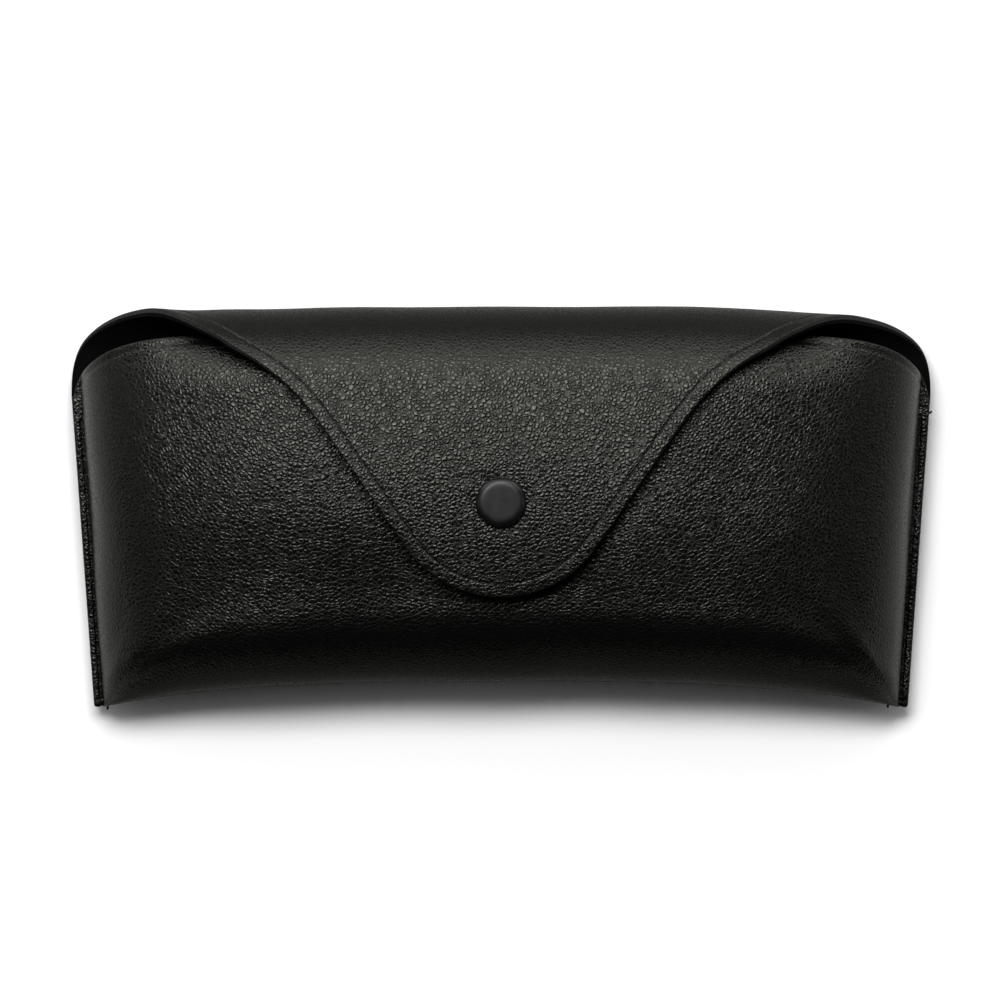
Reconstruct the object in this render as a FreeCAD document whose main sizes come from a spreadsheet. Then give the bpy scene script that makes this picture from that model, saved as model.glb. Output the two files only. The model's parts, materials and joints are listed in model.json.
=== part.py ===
import FreeCAD, Part
import math
import os
import Sketcher

# Soft pouch glasses case, lying on its back: +Z points out of the front face,
# +Y towards the folded-over flap, X across the width.  All sizes in millimetres.
# The origin is under the middle of the case, on the plane that it lies on.

V = FreeCAD.Vector

DIMENSIONS = {
    # outline seen from the front
    "bottom_half_width": 80.8,     # middle to the seam's edge at the bottom corners
    "side_flare": 0.072,           # how much each side spreads per millimetre upwards
    "bottom_corner_y": -39.6,      # lowest point of the side seams
    "bottom_arch": 5.0,            # the bottom's middle is this much higher than its corners
    "seam_top_y": 17.0,            # where the side seams end and the mouth begins
    "mouth_inset": 1.583,          # front panel's edge stops this short of the roll's far side
    "back_corner_y": 24.0,         # where the back panel's shoulder starts to round off
    "back_corner_rise": 12.0,      # height of that rounding
    "back_corner_run": 0.1,        # its width, as a share of the half width
    # sheets
    "leather": 0.9,
    "back_trim": 0.1,              # shaved off the back, which leaves it flat to rest on
    "glue": 0.05,
    "lining": 0.7,
    # bulge of the pouch
    "seam_gap": 0.6,               # glue and slack between the two linings at the side seam
    "seam_allowance": 2.0,         # flat strip outside the seam's stitches
    "seam_rise": 3.6,              # height of the side seams over the back
    "bulge_power": 5.0,            # higher is flatter in the middle, steeper at the sides
    "bulge_root": 2.2,
    "arch_power": 3.0,             # the bottom's arch, shallow in the middle
    "rise_start": 0.72,            # share of the half width where the back starts to lift
    "mouth_power": 8.0,            # the mouth is straight, then turns down to the seams
    "mouth_root": 0.38,
    # rolled top fold and flap, as arcs seen from the side
    "roll_radius": 17.5,
    "front_radius": 140.0,
    "snap_y": 0.9,                 # middle of the snap, where the front is highest
    "mouth_drop": 0.8,             # how much more the front panel's edge tucks in
    "back_hinge": -50.0,           # directions of the three bend lines round the roll
    "top_hinge": 15.0,
    "lift_hinge": 80.0,
    "hinge_gap": 0.3,
    "shoulder_out": 1.2,           # fold past the bottom's half width where it leaves the back
    "corner_in": 5.8,              # and how far inside it at the corner and at the crest
    "crest_in": 10.8,
    "shoulder_level": 0.23,        # heights of shoulder and corner, as shares of the roll radius
    "corner_level": 0.55,
    # flap outline
    "flap_tip_y": -17.8,
    "tip_radius": 23.0,
    "flap_slope": 55.5,
    "slope_length": 28.9,
    "flare_radius": 51.0,
    "flare_slope": 27.4,
    "flap_shoulder_in": 13.7,
    # press stud
    "cap_radius": 5.0,
    "cap_rim": 0.45,
    "cap_height": 1.5,
    "post_radius": 1.3,
    "hole_clearance": 0.2,
    "socket_radius": 4.5,
    "socket_wall": 0.6,
    "socket_height": 2.25,
    "socket_plate": 0.4,
    "socket_lip": 0.35,
    "clench": 0.3,                 # spread head of the cap's post
    "spring_wire": 0.4,
    "spring_clearance": 0.15,
    "spring_opening": 50.0,        # degrees left open, so that the ring can spread
    "seat": 0.05,                  # running gap under a snap part that sits on leather
    "seat_under": 0.12,            # the same under the curved flap
    "nub_radius": 2.1,
    "neck_radius": 1.8,
    "nub_bulb": 0.45,              # height of the bulb over its neck
    "bulb_bevel": 0.1,
    "nub_clearance": 0.23,         # under the spread head of the cap's post
    "rim_clearance": 0.18,         # between the socket's rim and the stud's flange
    "stud_flange": 4.1,
    "stud_plate": 0.4,
    "rivet_radius": 1.2,
    "rivet_head": 3.6,
    "patch_radius": 6.3,
    "patch": 0.2,
    "patch_drop": 0.17,            # keeps the flat patch clear of the curved leather
    "recess": 0.35,                # pressed into the lining to take the patch
    # thread
    "thread": 0.5,
    "stitch": 2.5,
    "stitch_pitch": 3.4,
    "stitch_inset": 2.5,
    "hem_reach": 0.86,             # share of the half width that the mouth's stitches cover
    "edge_reach": 0.75,            # the flap's stitches start this far over the roll
}

# Sizes that follow from the ones above, as cells of the same sheet.
DERIVED = {
    "stack": "leather + glue + lining",
    "seam_thickness": "2 * stack + seam_gap",
    "snap_gap": "seat_under + socket_height + rim_clearance + seat + stud_plate",
    "nub_height": "snap_gap - seat_under - socket_plate - seat - clench - nub_clearance",
    "neck_height": "nub_height - nub_bulb",
    "roll_y": "snap_y + (front_radius - roll_radius) * cos(lift_hinge)",
    "arc_z": "roll_radius - (front_radius - roll_radius) * sin(lift_hinge)",
    "crown_z": "arc_z + front_radius",
    "panel_z": "crown_z - stack - snap_gap",
    "tuck_radius": "panel_z - roll_radius - mouth_drop",
    "mouth_y": "roll_y + tuck_radius - mouth_inset",
    "shoulder_half_width": "bottom_half_width + shoulder_out",
    "corner_half_width": "bottom_half_width - corner_in",
    "crest_half_width": "bottom_half_width - crest_in",
    "flap_shoulder": "bottom_half_width - flap_shoulder_in",
}

doc = FreeCAD.newDocument("glasses_pouch")
sheet = doc.addObject("Spreadsheet::Sheet", "dims")
sheet.Label = "driving dimensions"
cells = list(DIMENSIONS.items()) + [(alias, "=" + formula) for alias, formula in DERIVED.items()]
for row, (alias, value) in enumerate(cells, start=1):
    sheet.set(f"A{row}", alias)
    sheet.set(f"B{row}", str(value))
    sheet.setAlias(f"B{row}", alias)
doc.recompute()


def size(alias):
    return float(sheet.get(alias))


# ---------------------------------------------------------------- derived geometry

roll_radius = size("roll_radius")
roll_y = size("roll_y")
arc_z = size("arc_z")
panel_z = size("panel_z")
tuck_radius = size("tuck_radius")
lift = math.radians(size("lift_hinge"))
seam_share = 1 - size("seam_allowance") / size("bottom_half_width")
flare_origin = size("bottom_half_width") - size("side_flare") * size("bottom_corner_y")

# front panel: a wide arc over the middle, running into a smaller roll at the mouth
reach = roll_y - size("snap_y")
over = panel_z - roll_radius
panel_radius = (reach ** 2 + over ** 2 - tuck_radius ** 2) / (2 * (over - tuck_radius))
join_y = size("snap_y") + panel_radius * reach / (panel_radius - tuck_radius)


def front_height(y):
    """Height of the front panel's outside at the middle of the case."""
    if y < join_y:
        return panel_z - panel_radius + math.sqrt(panel_radius ** 2 - (y - size("snap_y")) ** 2)
    return roll_radius + math.sqrt(tuck_radius ** 2 - (y - roll_y) ** 2)


def front_slope(y):
    """How steeply that outside rises with y."""
    if y < join_y:
        return -(y - size("snap_y")) / math.sqrt(panel_radius ** 2 - (y - size("snap_y")) ** 2)
    return -(y - roll_y) / math.sqrt(tuck_radius ** 2 - (y - roll_y) ** 2)


bottom_mid_y = size("bottom_corner_y") + size("bottom_arch")
# the bottom's fold is half as high as the front panel where it begins
turn_radius = roll_radius
for _ in range(30):
    turn_radius = front_height(bottom_mid_y + turn_radius) / 2
turn_y = bottom_mid_y + turn_radius


def across(share, y):
    """X of a point that lies a share of the way from the middle to the seam's edge."""
    return share * (flare_origin + size("side_flare") * y)


def station(share):
    """Sizes of the pouch's section at a share of the half width."""
    side = abs(share)
    inner = min(side / seam_share, 1.0)
    swell = (1 - inner ** size("bulge_power")) ** (1 / size("bulge_root"))
    height = size("seam_thickness") + (2 * turn_radius - size("seam_thickness")) * swell
    lifted = max(0.0, (inner - size("rise_start")) / (1 - size("rise_start")))
    base = size("seam_rise") * lifted ** 2
    bottom = bottom_mid_y - size("bottom_arch") * inner ** size("arch_power")
    opening = (1 - side ** size("mouth_power")) ** size("mouth_root")
    open_y = size("seam_top_y") + (size("mouth_y") - size("seam_top_y")) * opening
    corner = max(0.0, (side - 1 + size("back_corner_run")) / size("back_corner_run"))
    back_y = size("back_corner_y") + size("back_corner_rise") * math.sqrt(max(0.0, 1 - corner ** 2))
    return height, base, bottom, open_y, back_y


def front_point(share, y, depth=0.0):
    """Point of the front panel, named by its height y at the middle of the case."""
    height, base, bottom, open_y, _ = station(share)
    swell = (height - size("seam_thickness")) / (2 * turn_radius - size("seam_thickness"))
    start = bottom + height / 2
    squeeze = (open_y - start) / (size("mouth_y") - turn_y)
    place = start + (y - turn_y) * squeeze
    rise = base + size("seam_thickness") * (1 - swell) + front_height(y) * swell
    slope = swell * front_slope(y)
    length = math.hypot(squeeze, slope)
    place += depth * slope / length
    rise -= depth * squeeze / length
    return V(across(share, place), place, rise)


SHORT_EDGE = 0.3        # an arc shorter than this becomes a straight edge
FRONT_STEPS = 8
STATION_DEGREES = 10


def wrap_path(share, depth):
    """Edges round the pouch at one station, a depth inside its outer surface."""
    height, base, bottom, _, back_y = station(share)
    inside = roll_radius - depth
    end_y = min(back_y, roll_y + inside * math.cos(math.radians(size("back_hinge"))))
    level = base + depth if depth else base - size("back_trim")
    meet_y = roll_y + math.sqrt(max(0.0, inside ** 2 - (roll_radius - level) ** 2))
    low_y = bottom + height / 2
    deep_y = bottom + depth

    def back_point(y):
        circle = roll_radius - math.sqrt(inside ** 2 - (y - roll_y) ** 2)
        return V(across(share, y), y, max(level, circle))

    if meet_y < end_y - SHORT_EDGE:
        first = back_point(meet_y)
        shoulder = Part.Arc(back_point(end_y), back_point((end_y + meet_y) / 2), first).toShape()
    else:
        first = back_point(end_y - 1)
        shoulder = Part.makeLine(back_point(end_y), first)
    low = V(across(share, low_y), low_y, level)
    deep = V(across(share, deep_y), deep_y, base + height / 2)
    turn = Part.Arc(low, deep, front_point(share, turn_y, depth)).toShape()
    rising = []
    for step in range(FRONT_STEPS + 1):
        y = turn_y + (size("mouth_y") - turn_y) * math.sin(math.pi / 2 * step / FRONT_STEPS)
        rising.append(front_point(share, y, depth))
    front = Part.BSplineCurve()
    front.interpolate(rising)
    return [shoulder, Part.makeLine(first, low), turn, front.toShape()]


def stations():
    """Shares of the half width, closer together towards the side seams."""
    degrees = range(-90, 91, STATION_DEGREES)
    return [-1.0] + [seam_share * math.sin(math.radians(angle)) for angle in degrees] + [1.0]


def wrapped_sheet(outside, inside):
    """Sheet between two depths, running from the back round the bottom to the mouth."""
    sections = []
    for share in stations():
        outer = wrap_path(share, outside)
        inner = wrap_path(share, inside)
        first = Part.makeLine(inner[0].Vertexes[0].Point, outer[0].Vertexes[0].Point)
        last = Part.makeLine(outer[-1].Vertexes[-1].Point, inner[-1].Vertexes[-1].Point)
        edges = [first] + outer + [last] + inner[::-1]
        sections.append(Part.Wire(Part.__sortEdges__(edges)))
    return Part.makeLoft(sections, True, True)


# ------------------------------------------------------------------------- helpers

def feature(label, shape):
    piece = doc.addObject("Part::Feature", label)
    piece.Label = label
    piece.Shape = shape
    return piece


def boolean(kind, label, base, tool):
    piece = doc.addObject(f"Part::{kind}", label)
    piece.Label = label
    piece.Base = base
    piece.Tool = tool
    return piece


def prism(label, sketch, length):
    """Straight extrusion of a closed sketch, the same length both ways."""
    piece = doc.addObject("Part::Extrusion", label)
    piece.Base = sketch
    piece.DirMode = "Normal"
    piece.Solid = True
    piece.setExpression("LengthFwd", length)
    piece.setExpression("LengthRev", length)
    return piece


def pin_point(sketch, edge, end, corner):
    """Ties one end of a sketch edge to two expressions."""
    for kind, term in zip(("DistanceX", "DistanceY"), corner):
        value = float(sketch.evalExpression(term))
        number = sketch.addConstraint(Sketcher.Constraint(kind, -1, 1, edge, end, value))
        sketch.setExpression(f"Constraints[{number}]", term)


def outline(sketch, corners, arcs=None):
    """Closed outline through corners, each a pair of expressions.  arcs maps an edge's
    number to its radius expression and its side: 1 bulges right of its way, -1 left."""
    arcs = arcs or {}
    total = len(corners)
    spot = [V(*(float(sketch.evalExpression(term)) for term in corner), 0) for corner in corners]
    for edge in range(total):
        start, end = spot[edge], spot[(edge + 1) % total]
        if edge not in arcs:
            sketch.addGeometry(Part.LineSegment(start, end), False)
            continue
        radius = float(sketch.evalExpression(arcs[edge][0]))
        if arcs[edge][1] < 0:
            start, end = end, start
        chord = end - start
        sagitta = radius - math.sqrt(radius ** 2 - chord.Length ** 2 / 4)
        middle = (start + end) / 2 + V(chord.y, -chord.x, 0).normalize() * sagitta
        sketch.addGeometry(Part.Arc(start, middle, end), False)
    for edge in range(total):
        if edge not in arcs:
            pin_point(sketch, edge, 1, corners[edge])
            pin_point(sketch, edge, 2, corners[(edge + 1) % total])
            continue
        radius, side = arcs[edge]
        value = float(sketch.evalExpression(radius))
        number = sketch.addConstraint(Sketcher.Constraint("Radius", edge, value))
        sketch.setExpression(f"Constraints[{number}]", radius)
        before = (edge - 1) % total
        after = (edge + 1) % total
        first, last = (1, 2) if side > 0 else (2, 1)
        if before not in arcs:
            sketch.addConstraint(Sketcher.Constraint("Coincident", edge, first, before, 2))
        if after not in arcs:
            sketch.addConstraint(Sketcher.Constraint("Coincident", edge, last, after, 1))


def origin_plane(body, role):
    return next(plane for plane in body.Origin.OriginFeatures if plane.Role == role)


def body_sketch(body, role):
    sketch = body.newObject("Sketcher::SketchObject", body.Name + "_profile")
    sketch.AttachmentSupport = [(origin_plane(body, role), "")]
    sketch.MapMode = "FlatFace"
    return sketch


# ------------------------------------------------- rolled sheets, as arcs from the side

def polar(centre, radius, angle):
    return (f"{centre[0]} + ({radius}) * cos({angle})", f"{centre[1]} + ({radius}) * sin({angle})")


def rolled_sheet(label, centre, radius, angles, depths):
    """Band of a tube along X, between two directions and two depths under its radius."""
    body = doc.addObject("PartDesign::Body", label)
    body.Label = label
    sketch = body_sketch(body, "YZ_Plane")
    outer = f"{radius} - {depths[0]}"
    inner = f"{radius} - {depths[1]}"
    first, last = angles
    corners = [
        polar(centre, inner, first),
        polar(centre, outer, first),
        polar(centre, outer, last),
        polar(centre, inner, last),
    ]
    outline(sketch, corners, {1: (outer, 1), 3: (inner, -1)})
    pad = body.newObject("PartDesign::Pad", label + "_band")
    pad.Profile = sketch
    pad.SideType = "Symmetric"
    pad.setExpression("Length", "2 * dims.shoulder_half_width")
    return body


ROLL_CENTRE = ("dims.roll_y", "dims.roll_radius")
FRONT_CENTRE = ("dims.snap_y", "dims.arc_z")
LAYERS = {"leather": ("0", "dims.leather"), "lining": ("(dims.leather + dims.glue)", "dims.stack")}
ROLL_GAP = "dims.hinge_gap / dims.roll_radius * 90 / pi"
FRONT_GAP = "dims.hinge_gap / dims.front_radius * 90 / pi"
PAST_TIP = "(90 deg + asin((dims.snap_y - dims.flap_tip_y + 1) / dims.front_radius))"


def back_corners():
    """Prism seen from behind: the back panel's rounded shoulders, up to the crest."""
    sketch = doc.addObject("Sketcher::SketchObject", "back_corner_outline")
    sketch.Placement = FreeCAD.Placement(V(), FreeCAD.Rotation(V(1, 0, 0), 90))
    crest = "dims.roll_radius"
    right = [
        ("dims.shoulder_half_width", "-1"),
        ("dims.shoulder_half_width", "dims.roll_radius * dims.shoulder_level"),
        ("dims.corner_half_width", "dims.roll_radius * dims.corner_level"),
        ("dims.crest_half_width", crest),
        ("dims.crest_half_width - 0.5", "dims.roll_radius * 2"),
    ]
    left = [("-(" + x + ")", z) for x, z in reversed(right)]
    outline(sketch, right + left)
    return prism("back_corner_prism", sketch, "3 * dims.roll_radius + dims.roll_y")


SLOPE = "dims.flap_slope"
TIP_END = ("dims.tip_radius * sin(dims.flap_slope)",
           "dims.flap_tip_y + dims.tip_radius * (1 - cos(dims.flap_slope))")
FLARE_START = (f"{TIP_END[0]} + dims.slope_length * cos({SLOPE})",
               f"{TIP_END[1]} + dims.slope_length * sin({SLOPE})")
FLARE_END = (f"{FLARE_START[0]} + dims.flare_radius * (sin({SLOPE}) - sin(dims.flare_slope))",
             f"{FLARE_START[1]} + dims.flare_radius * (cos(dims.flare_slope) - cos({SLOPE}))")


def flap_outline():
    """Prism seen from the front: the flap's bell, with its round tip."""
    sketch = doc.addObject("Sketcher::SketchObject", "flap_bell_outline")
    crest = "dims.roll_y + dims.roll_radius"
    left = [
        ("-(dims.crest_half_width)", f"{crest} + 2"),
        ("-(dims.crest_half_width)", f"{crest} - 1"),
        ("-(dims.flap_shoulder)", f"{crest} - 2"),
        (f"-({FLARE_END[0]})", FLARE_END[1]),
        (f"-({FLARE_START[0]})", FLARE_START[1]),
        (f"-({TIP_END[0]})", TIP_END[1]),
    ]
    right = [(x[2:-1], y) for x, y in reversed(left)]
    flare = "dims.flare_radius"
    outline(sketch, left + right, {3: (flare, -1), 5: ("dims.tip_radius", 1), 7: (flare, -1)})
    return prism("flap_bell_prism", sketch, "3 * dims.roll_radius")


def snap_drill(label, top, depth):
    """Hole for a snap's post, through a sheet whose outside is at a height."""
    drill = doc.addObject("Part::Cylinder", label)
    drill.setExpression("Radius", "dims.post_radius + dims.hole_clearance")
    drill.setExpression("Height", f"2 * ({depth})")
    drill.setExpression("Placement.Base.y", "dims.snap_y")
    drill.setExpression("Placement.Base.z", f"{top} - 1.5 * ({depth})")
    return drill


def snap_recess(label, top):
    """Round recess in a lining, which takes the patch behind the snap."""
    recess = doc.addObject("Part::Cylinder", label)
    recess.setExpression("Radius", "dims.patch_radius + dims.hole_clearance")
    recess.setExpression("Height", "dims.recess + dims.leather")
    recess.setExpression("Placement.Base.y", "dims.snap_y")
    recess.setExpression("Placement.Base.z", f"{top} - dims.leather - dims.glue - dims.recess")
    return recess


def fold_pieces():
    """Leather and lining of the two short lengths that roll over the top."""
    pieces = []
    folds = (
        ("back_fold", "dims.back_hinge", "dims.top_hinge", back_corners()),
        ("top_fold", "dims.top_hinge", "dims.lift_hinge", doc.getObject("flap_bell_prism")),
    )
    for fold, low, high, cutter in folds:
        for layer, depths in LAYERS.items():
            angles = (f"({low} + {ROLL_GAP})", f"({high} - {ROLL_GAP})")
            name = f"{fold}_{layer}"
            band = rolled_sheet(name + "_roll", ROLL_CENTRE, "dims.roll_radius", angles, depths)
            pieces.append(boolean("Common", name, band, cutter))
    return pieces


def flap_pieces():
    """Leather and lining of the flap, holed for the snap's post."""
    prism_piece = flap_outline()
    pieces = []
    for layer, depths in LAYERS.items():
        name = f"flap_{layer}"
        angles = (f"(dims.lift_hinge + {FRONT_GAP})", PAST_TIP)
        band = rolled_sheet(name + "_arch", FRONT_CENTRE, "dims.front_radius", angles, depths)
        cut = boolean("Common", name + "_bell", band, prism_piece)
        if layer == "lining":
            cut = boolean("Cut", name + "_recessed", cut, snap_recess("flap_recess", "dims.crown_z"))
        drill = snap_drill(name + "_drill", "dims.crown_z", "2 * dims.stack")
        pieces.append(boolean("Cut", name, cut, drill))
    return pieces


def pouch_pieces():
    """Leather and lining of the pouch: back, bottom fold and front in one sheet each."""
    shell = feature("pouch_wrap", wrapped_sheet(0.0, size("leather")))
    plane = doc.addObject("Part::Box", "resting_plane")
    plane.setExpression("Length", "3 * dims.bottom_half_width")
    plane.setExpression("Width", "3 * dims.bottom_half_width")
    plane.setExpression("Height", "10 * dims.back_trim")
    plane.setExpression("Placement.Base.x", "-1.5 * dims.bottom_half_width")
    plane.setExpression("Placement.Base.y", "-1.5 * dims.bottom_half_width")
    plane.setExpression("Placement.Base.z", "-10 * dims.back_trim")
    flat = boolean("Cut", "pouch_flat_back", shell, plane)
    drill = snap_drill("stud_hole", "dims.panel_z", "dims.stack")
    leather = boolean("Cut", "pouch_leather", flat, drill)
    lined = feature("pouch_lining_wrap", wrapped_sheet(size("leather") + size("glue"), size("stack")))
    lined = boolean("Cut", "pouch_lining_recessed", lined, snap_recess("stud_recess", "dims.panel_z"))
    drill = snap_drill("stud_lining_hole", "dims.panel_z", "2 * dims.stack")
    lining = boolean("Cut", "pouch_lining", lined, drill)
    return [leather, lining]


# --------------------------------------------------------------------- press stud

def turned(label, top, corners, arcs=None):
    """Turned snap part from its half section: radius and height over a sheet's outside."""
    body = doc.addObject("PartDesign::Body", label)
    body.Label = label
    body.setExpression("Placement.Base.y", "dims.snap_y")
    body.setExpression("Placement.Base.z", top)
    sketch = body_sketch(body, "XZ_Plane")
    outline(sketch, corners, arcs)
    turn = body.newObject("PartDesign::Revolution", label + "_turn")
    turn.Profile = sketch
    turn.ReferenceAxis = (sketch, ["V_Axis"])
    turn.Angle = 360
    return body


SOCKET_TOP = f"-(dims.stack + dims.seat_under)"
SOCKET_UNDER = f"({SOCKET_TOP} - dims.socket_plate)"
SOCKET_RIM = f"({SOCKET_TOP} - dims.socket_height)"


def snap_cap():
    clench_top = f"{SOCKET_UNDER} - dims.seat"
    clench_low = f"{SOCKET_UNDER} - dims.seat - dims.clench"
    head = "dims.post_radius + 2 * dims.clench"
    dome = ("(dims.cap_radius * dims.cap_radius + pow(dims.cap_height - dims.cap_rim; 2))"
            " / (2 * (dims.cap_height - dims.cap_rim))")
    corners = [
        ("0", clench_low),
        (head, clench_low),
        (head, clench_top),
        ("dims.post_radius", clench_top),
        ("dims.post_radius", "dims.seat"),
        ("dims.cap_radius", "dims.seat"),
        ("dims.cap_radius", "dims.cap_rim"),
        ("0", "dims.cap_height"),
    ]
    return turned("snap_cap", "dims.crown_z", corners, {6: (dome, 1)})


def snap_socket():
    bore = "dims.post_radius + dims.seat"
    wall = "dims.socket_radius - dims.socket_wall"
    lip = "dims.nub_radius + dims.spring_clearance + dims.spring_wire / 2"
    corners = [
        (bore, SOCKET_TOP),
        ("dims.socket_radius", SOCKET_TOP),
        ("dims.socket_radius", SOCKET_RIM),
        (lip, SOCKET_RIM),
        (lip, f"{SOCKET_RIM} + dims.socket_lip"),
        (wall, f"{SOCKET_RIM} + dims.socket_lip"),
        (wall, SOCKET_UNDER),
        (bore, SOCKET_UNDER),
    ]
    return turned("snap_socket", "dims.crown_z", corners)


def snap_spring():
    """Split wire ring that lies on the socket's lip and grips under the stud's bulb."""
    ring = doc.addObject("Part::Torus", "snap_spring")
    ring.setExpression("Radius1", "dims.nub_radius + dims.spring_clearance + dims.spring_wire / 2")
    ring.setExpression("Radius2", "dims.spring_wire / 2")
    ring.setExpression("Angle3", "360 - dims.spring_opening")
    ring.setExpression("Placement.Base.y", "dims.snap_y")
    rest = f"dims.crown_z + {SOCKET_RIM} + dims.socket_lip + dims.seat + dims.spring_wire / 2"
    ring.setExpression("Placement.Base.z", rest)
    return ring


def snap_stud():
    bore = "dims.rivet_radius + dims.seat"
    bore_top = "dims.neck_height - dims.seat"
    plate = "dims.seat + dims.stud_plate"
    corners = [
        (bore, "dims.seat"),
        ("dims.stud_flange", "dims.seat"),
        ("dims.stud_flange", plate),
        ("dims.neck_radius", plate),
        ("dims.neck_radius", "dims.neck_height"),
        ("dims.nub_radius", "dims.neck_height + dims.bulb_bevel"),
        ("dims.nub_radius", "dims.nub_height - dims.bulb_bevel"),
        ("dims.neck_radius", "dims.nub_height"),
        ("0", "dims.nub_height"),
        ("0", bore_top),
        (bore, bore_top),
    ]
    return turned("snap_stud", "dims.panel_z", corners)


def stud_rivet():
    under = f"-(dims.stack + dims.seat)"
    corners = [
        ("0", f"{under} - dims.stud_plate"),
        ("dims.rivet_head", f"{under} - dims.stud_plate"),
        ("dims.rivet_head", under),
        ("dims.rivet_radius", under),
        ("dims.rivet_radius", "dims.neck_height - 2 * dims.seat"),
        ("0", "dims.neck_height - 2 * dims.seat"),
    ]
    return turned("stud_rivet", "dims.panel_z", corners)


def snap_patch(label, top):
    high = "-(dims.leather + dims.patch_drop)"
    low = f"{high} - dims.patch"
    hole = "dims.post_radius + dims.hole_clearance"
    corners = [(hole, low), ("dims.patch_radius", low), ("dims.patch_radius", high), (hole, high)]
    return turned(label, top, corners)


# --------------------------------------------------------------------------- thread

def stitch(start, end):
    way = end - start
    return Part.makeCylinder(size("thread") / 2, way.Length, start, way)


def seam_thread(label, side):
    """Lock stitches up a side seam, alternating on its front and its back."""
    share = side * (seam_share + size("thread") / size("bottom_half_width"))
    front = size("seam_rise") + size("seam_thickness") + size("thread") / 2 + size("seat")
    back = size("seam_rise") - size("back_trim") - size("thread") / 2 - size("seat")
    run = size("seam_top_y") - size("bottom_corner_y") - 2 * size("stitch_pitch")
    rows = []
    for number in range(int(run / size("stitch_pitch"))):
        for height, shift in ((front, 0.0), (back, 0.5)):
            y = size("bottom_corner_y") + (number + 1 + shift) * size("stitch_pitch")
            far = y + size("stitch")
            rows.append(stitch(V(across(share, y), y, height), V(across(share, far), far, height)))
    return feature(label, Part.makeCompound(rows))


def hem_thread():
    """Row of stitches along the front panel's mouth edge."""
    level = size("mouth_y") - size("stitch_inset")
    lift_off = -(size("thread") / 2 + 2 * size("seat"))
    step = size("stitch_pitch") / size("bottom_half_width")
    length = size("stitch") / size("bottom_half_width")
    count = int(size("hem_reach") / step)
    rows = []
    for number in range(-count, count):
        share = (number + 0.5) * step - length / 2
        start = front_point(share, level, lift_off)
        rows.append(stitch(start, front_point(share + length, level, lift_off)))
    return feature("mouth_hem_thread", Part.makeCompound(rows))


def over_flap(x, y):
    """Point above the flap or the roll, where a thread on its outside lies."""
    lift_off = size("thread") / 2 + 2 * size("seat")
    hinge_y = roll_y + roll_radius * math.cos(lift)
    if y < hinge_y:
        reach_out = size("front_radius") + lift_off
        return V(x, y, arc_z + math.sqrt(reach_out ** 2 - (y - size("snap_y")) ** 2))
    return V(x, y, roll_radius + math.sqrt((roll_radius + lift_off) ** 2 - (y - roll_y) ** 2))


def bell_point(distance):
    """Point of the flap's edge seam, a distance round from the middle of its tip."""
    slope = math.radians(size("flap_slope"))
    inset = size("stitch_inset")
    tip_arc = (size("tip_radius") - inset) * slope
    centre_y = size("flap_tip_y") + size("tip_radius")
    angle = min(distance, tip_arc) / (size("tip_radius") - inset)
    x = (size("tip_radius") - inset) * math.sin(angle)
    y = centre_y - (size("tip_radius") - inset) * math.cos(angle)
    straight = min(max(distance - tip_arc, 0.0), size("slope_length"))
    x += straight * math.cos(slope)
    y += straight * math.sin(slope)
    flare = max(distance - tip_arc - size("slope_length"), 0.0) / (size("flare_radius") + inset)
    x += (size("flare_radius") + inset) * (math.sin(slope) - math.sin(slope - flare))
    y += (size("flare_radius") + inset) * (math.cos(slope - flare) - math.cos(slope))
    return x, y


def edge_thread(label, low_y, high_y):
    """Stitches of the flap's edge seam between two heights, on both sides."""
    turned_by = math.radians(size("flap_slope") - size("flare_slope"))
    tip_arc = (size("tip_radius") - size("stitch_inset")) * math.radians(size("flap_slope"))
    flare_arc = (size("flare_radius") + size("stitch_inset")) * turned_by
    rows = []
    for number in range(int((tip_arc + size("slope_length") + flare_arc) / size("stitch_pitch"))):
        near = (number + 0.5) * size("stitch_pitch") - size("stitch") / 2
        start = bell_point(near)
        end = bell_point(near + size("stitch"))
        if start[1] < low_y or end[1] > high_y:
            continue
        for side in (-1, 1):
            near_end = over_flap(side * start[0], start[1])
            rows.append(stitch(near_end, over_flap(side * end[0], end[1])))
    return feature(label, Part.makeCompound(rows))


def thread_pieces():
    hinge_y = roll_y + roll_radius * math.cos(lift)
    bend_room = 2 * size("hinge_gap")
    return [
        seam_thread("side_seam_thread_left", -1),
        seam_thread("side_seam_thread_right", 1),
        hem_thread(),
        edge_thread("flap_edge_thread", -100.0, hinge_y - bend_room),
        edge_thread("top_fold_edge_thread", hinge_y + bend_room, roll_y + size("edge_reach") * roll_radius),
    ]


# ------------------------------------------------------------------------ assembly

subparts = pouch_pieces() + flap_pieces() + fold_pieces() + thread_pieces()
subparts += [snap_cap(), snap_socket(), snap_spring(), snap_stud(), stud_rivet()]
subparts += [snap_patch("flap_snap_patch", "dims.crown_z"), snap_patch("stud_patch", "dims.panel_z")]
doc.recompute()

faults = [item.Name for item in doc.Objects if {"Invalid", "Error"} & set(item.State)]
for piece in subparts:
    if piece.Shape.isNull() or not piece.Shape.isValid() or not piece.Shape.Solids:
        faults.append(piece.Label)
if faults:
    raise SystemExit("not built: " + ", ".join(faults))

os.makedirs("parts", exist_ok=True)
for piece in subparts:
    piece.Shape.exportStep(f"parts/{piece.Label}.step")
    box = piece.Shape.BoundBox
    print(f"{piece.Label:26s} {len(piece.Shape.Solids):3d} solids {piece.Shape.Volume:10.1f} mm3"
          f"  x {box.XMin:6.1f} {box.XMax:6.1f}  y {box.YMin:6.1f} {box.YMax:6.1f}"
          f"  z {box.ZMin:6.2f} {box.ZMax:6.2f}")
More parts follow.
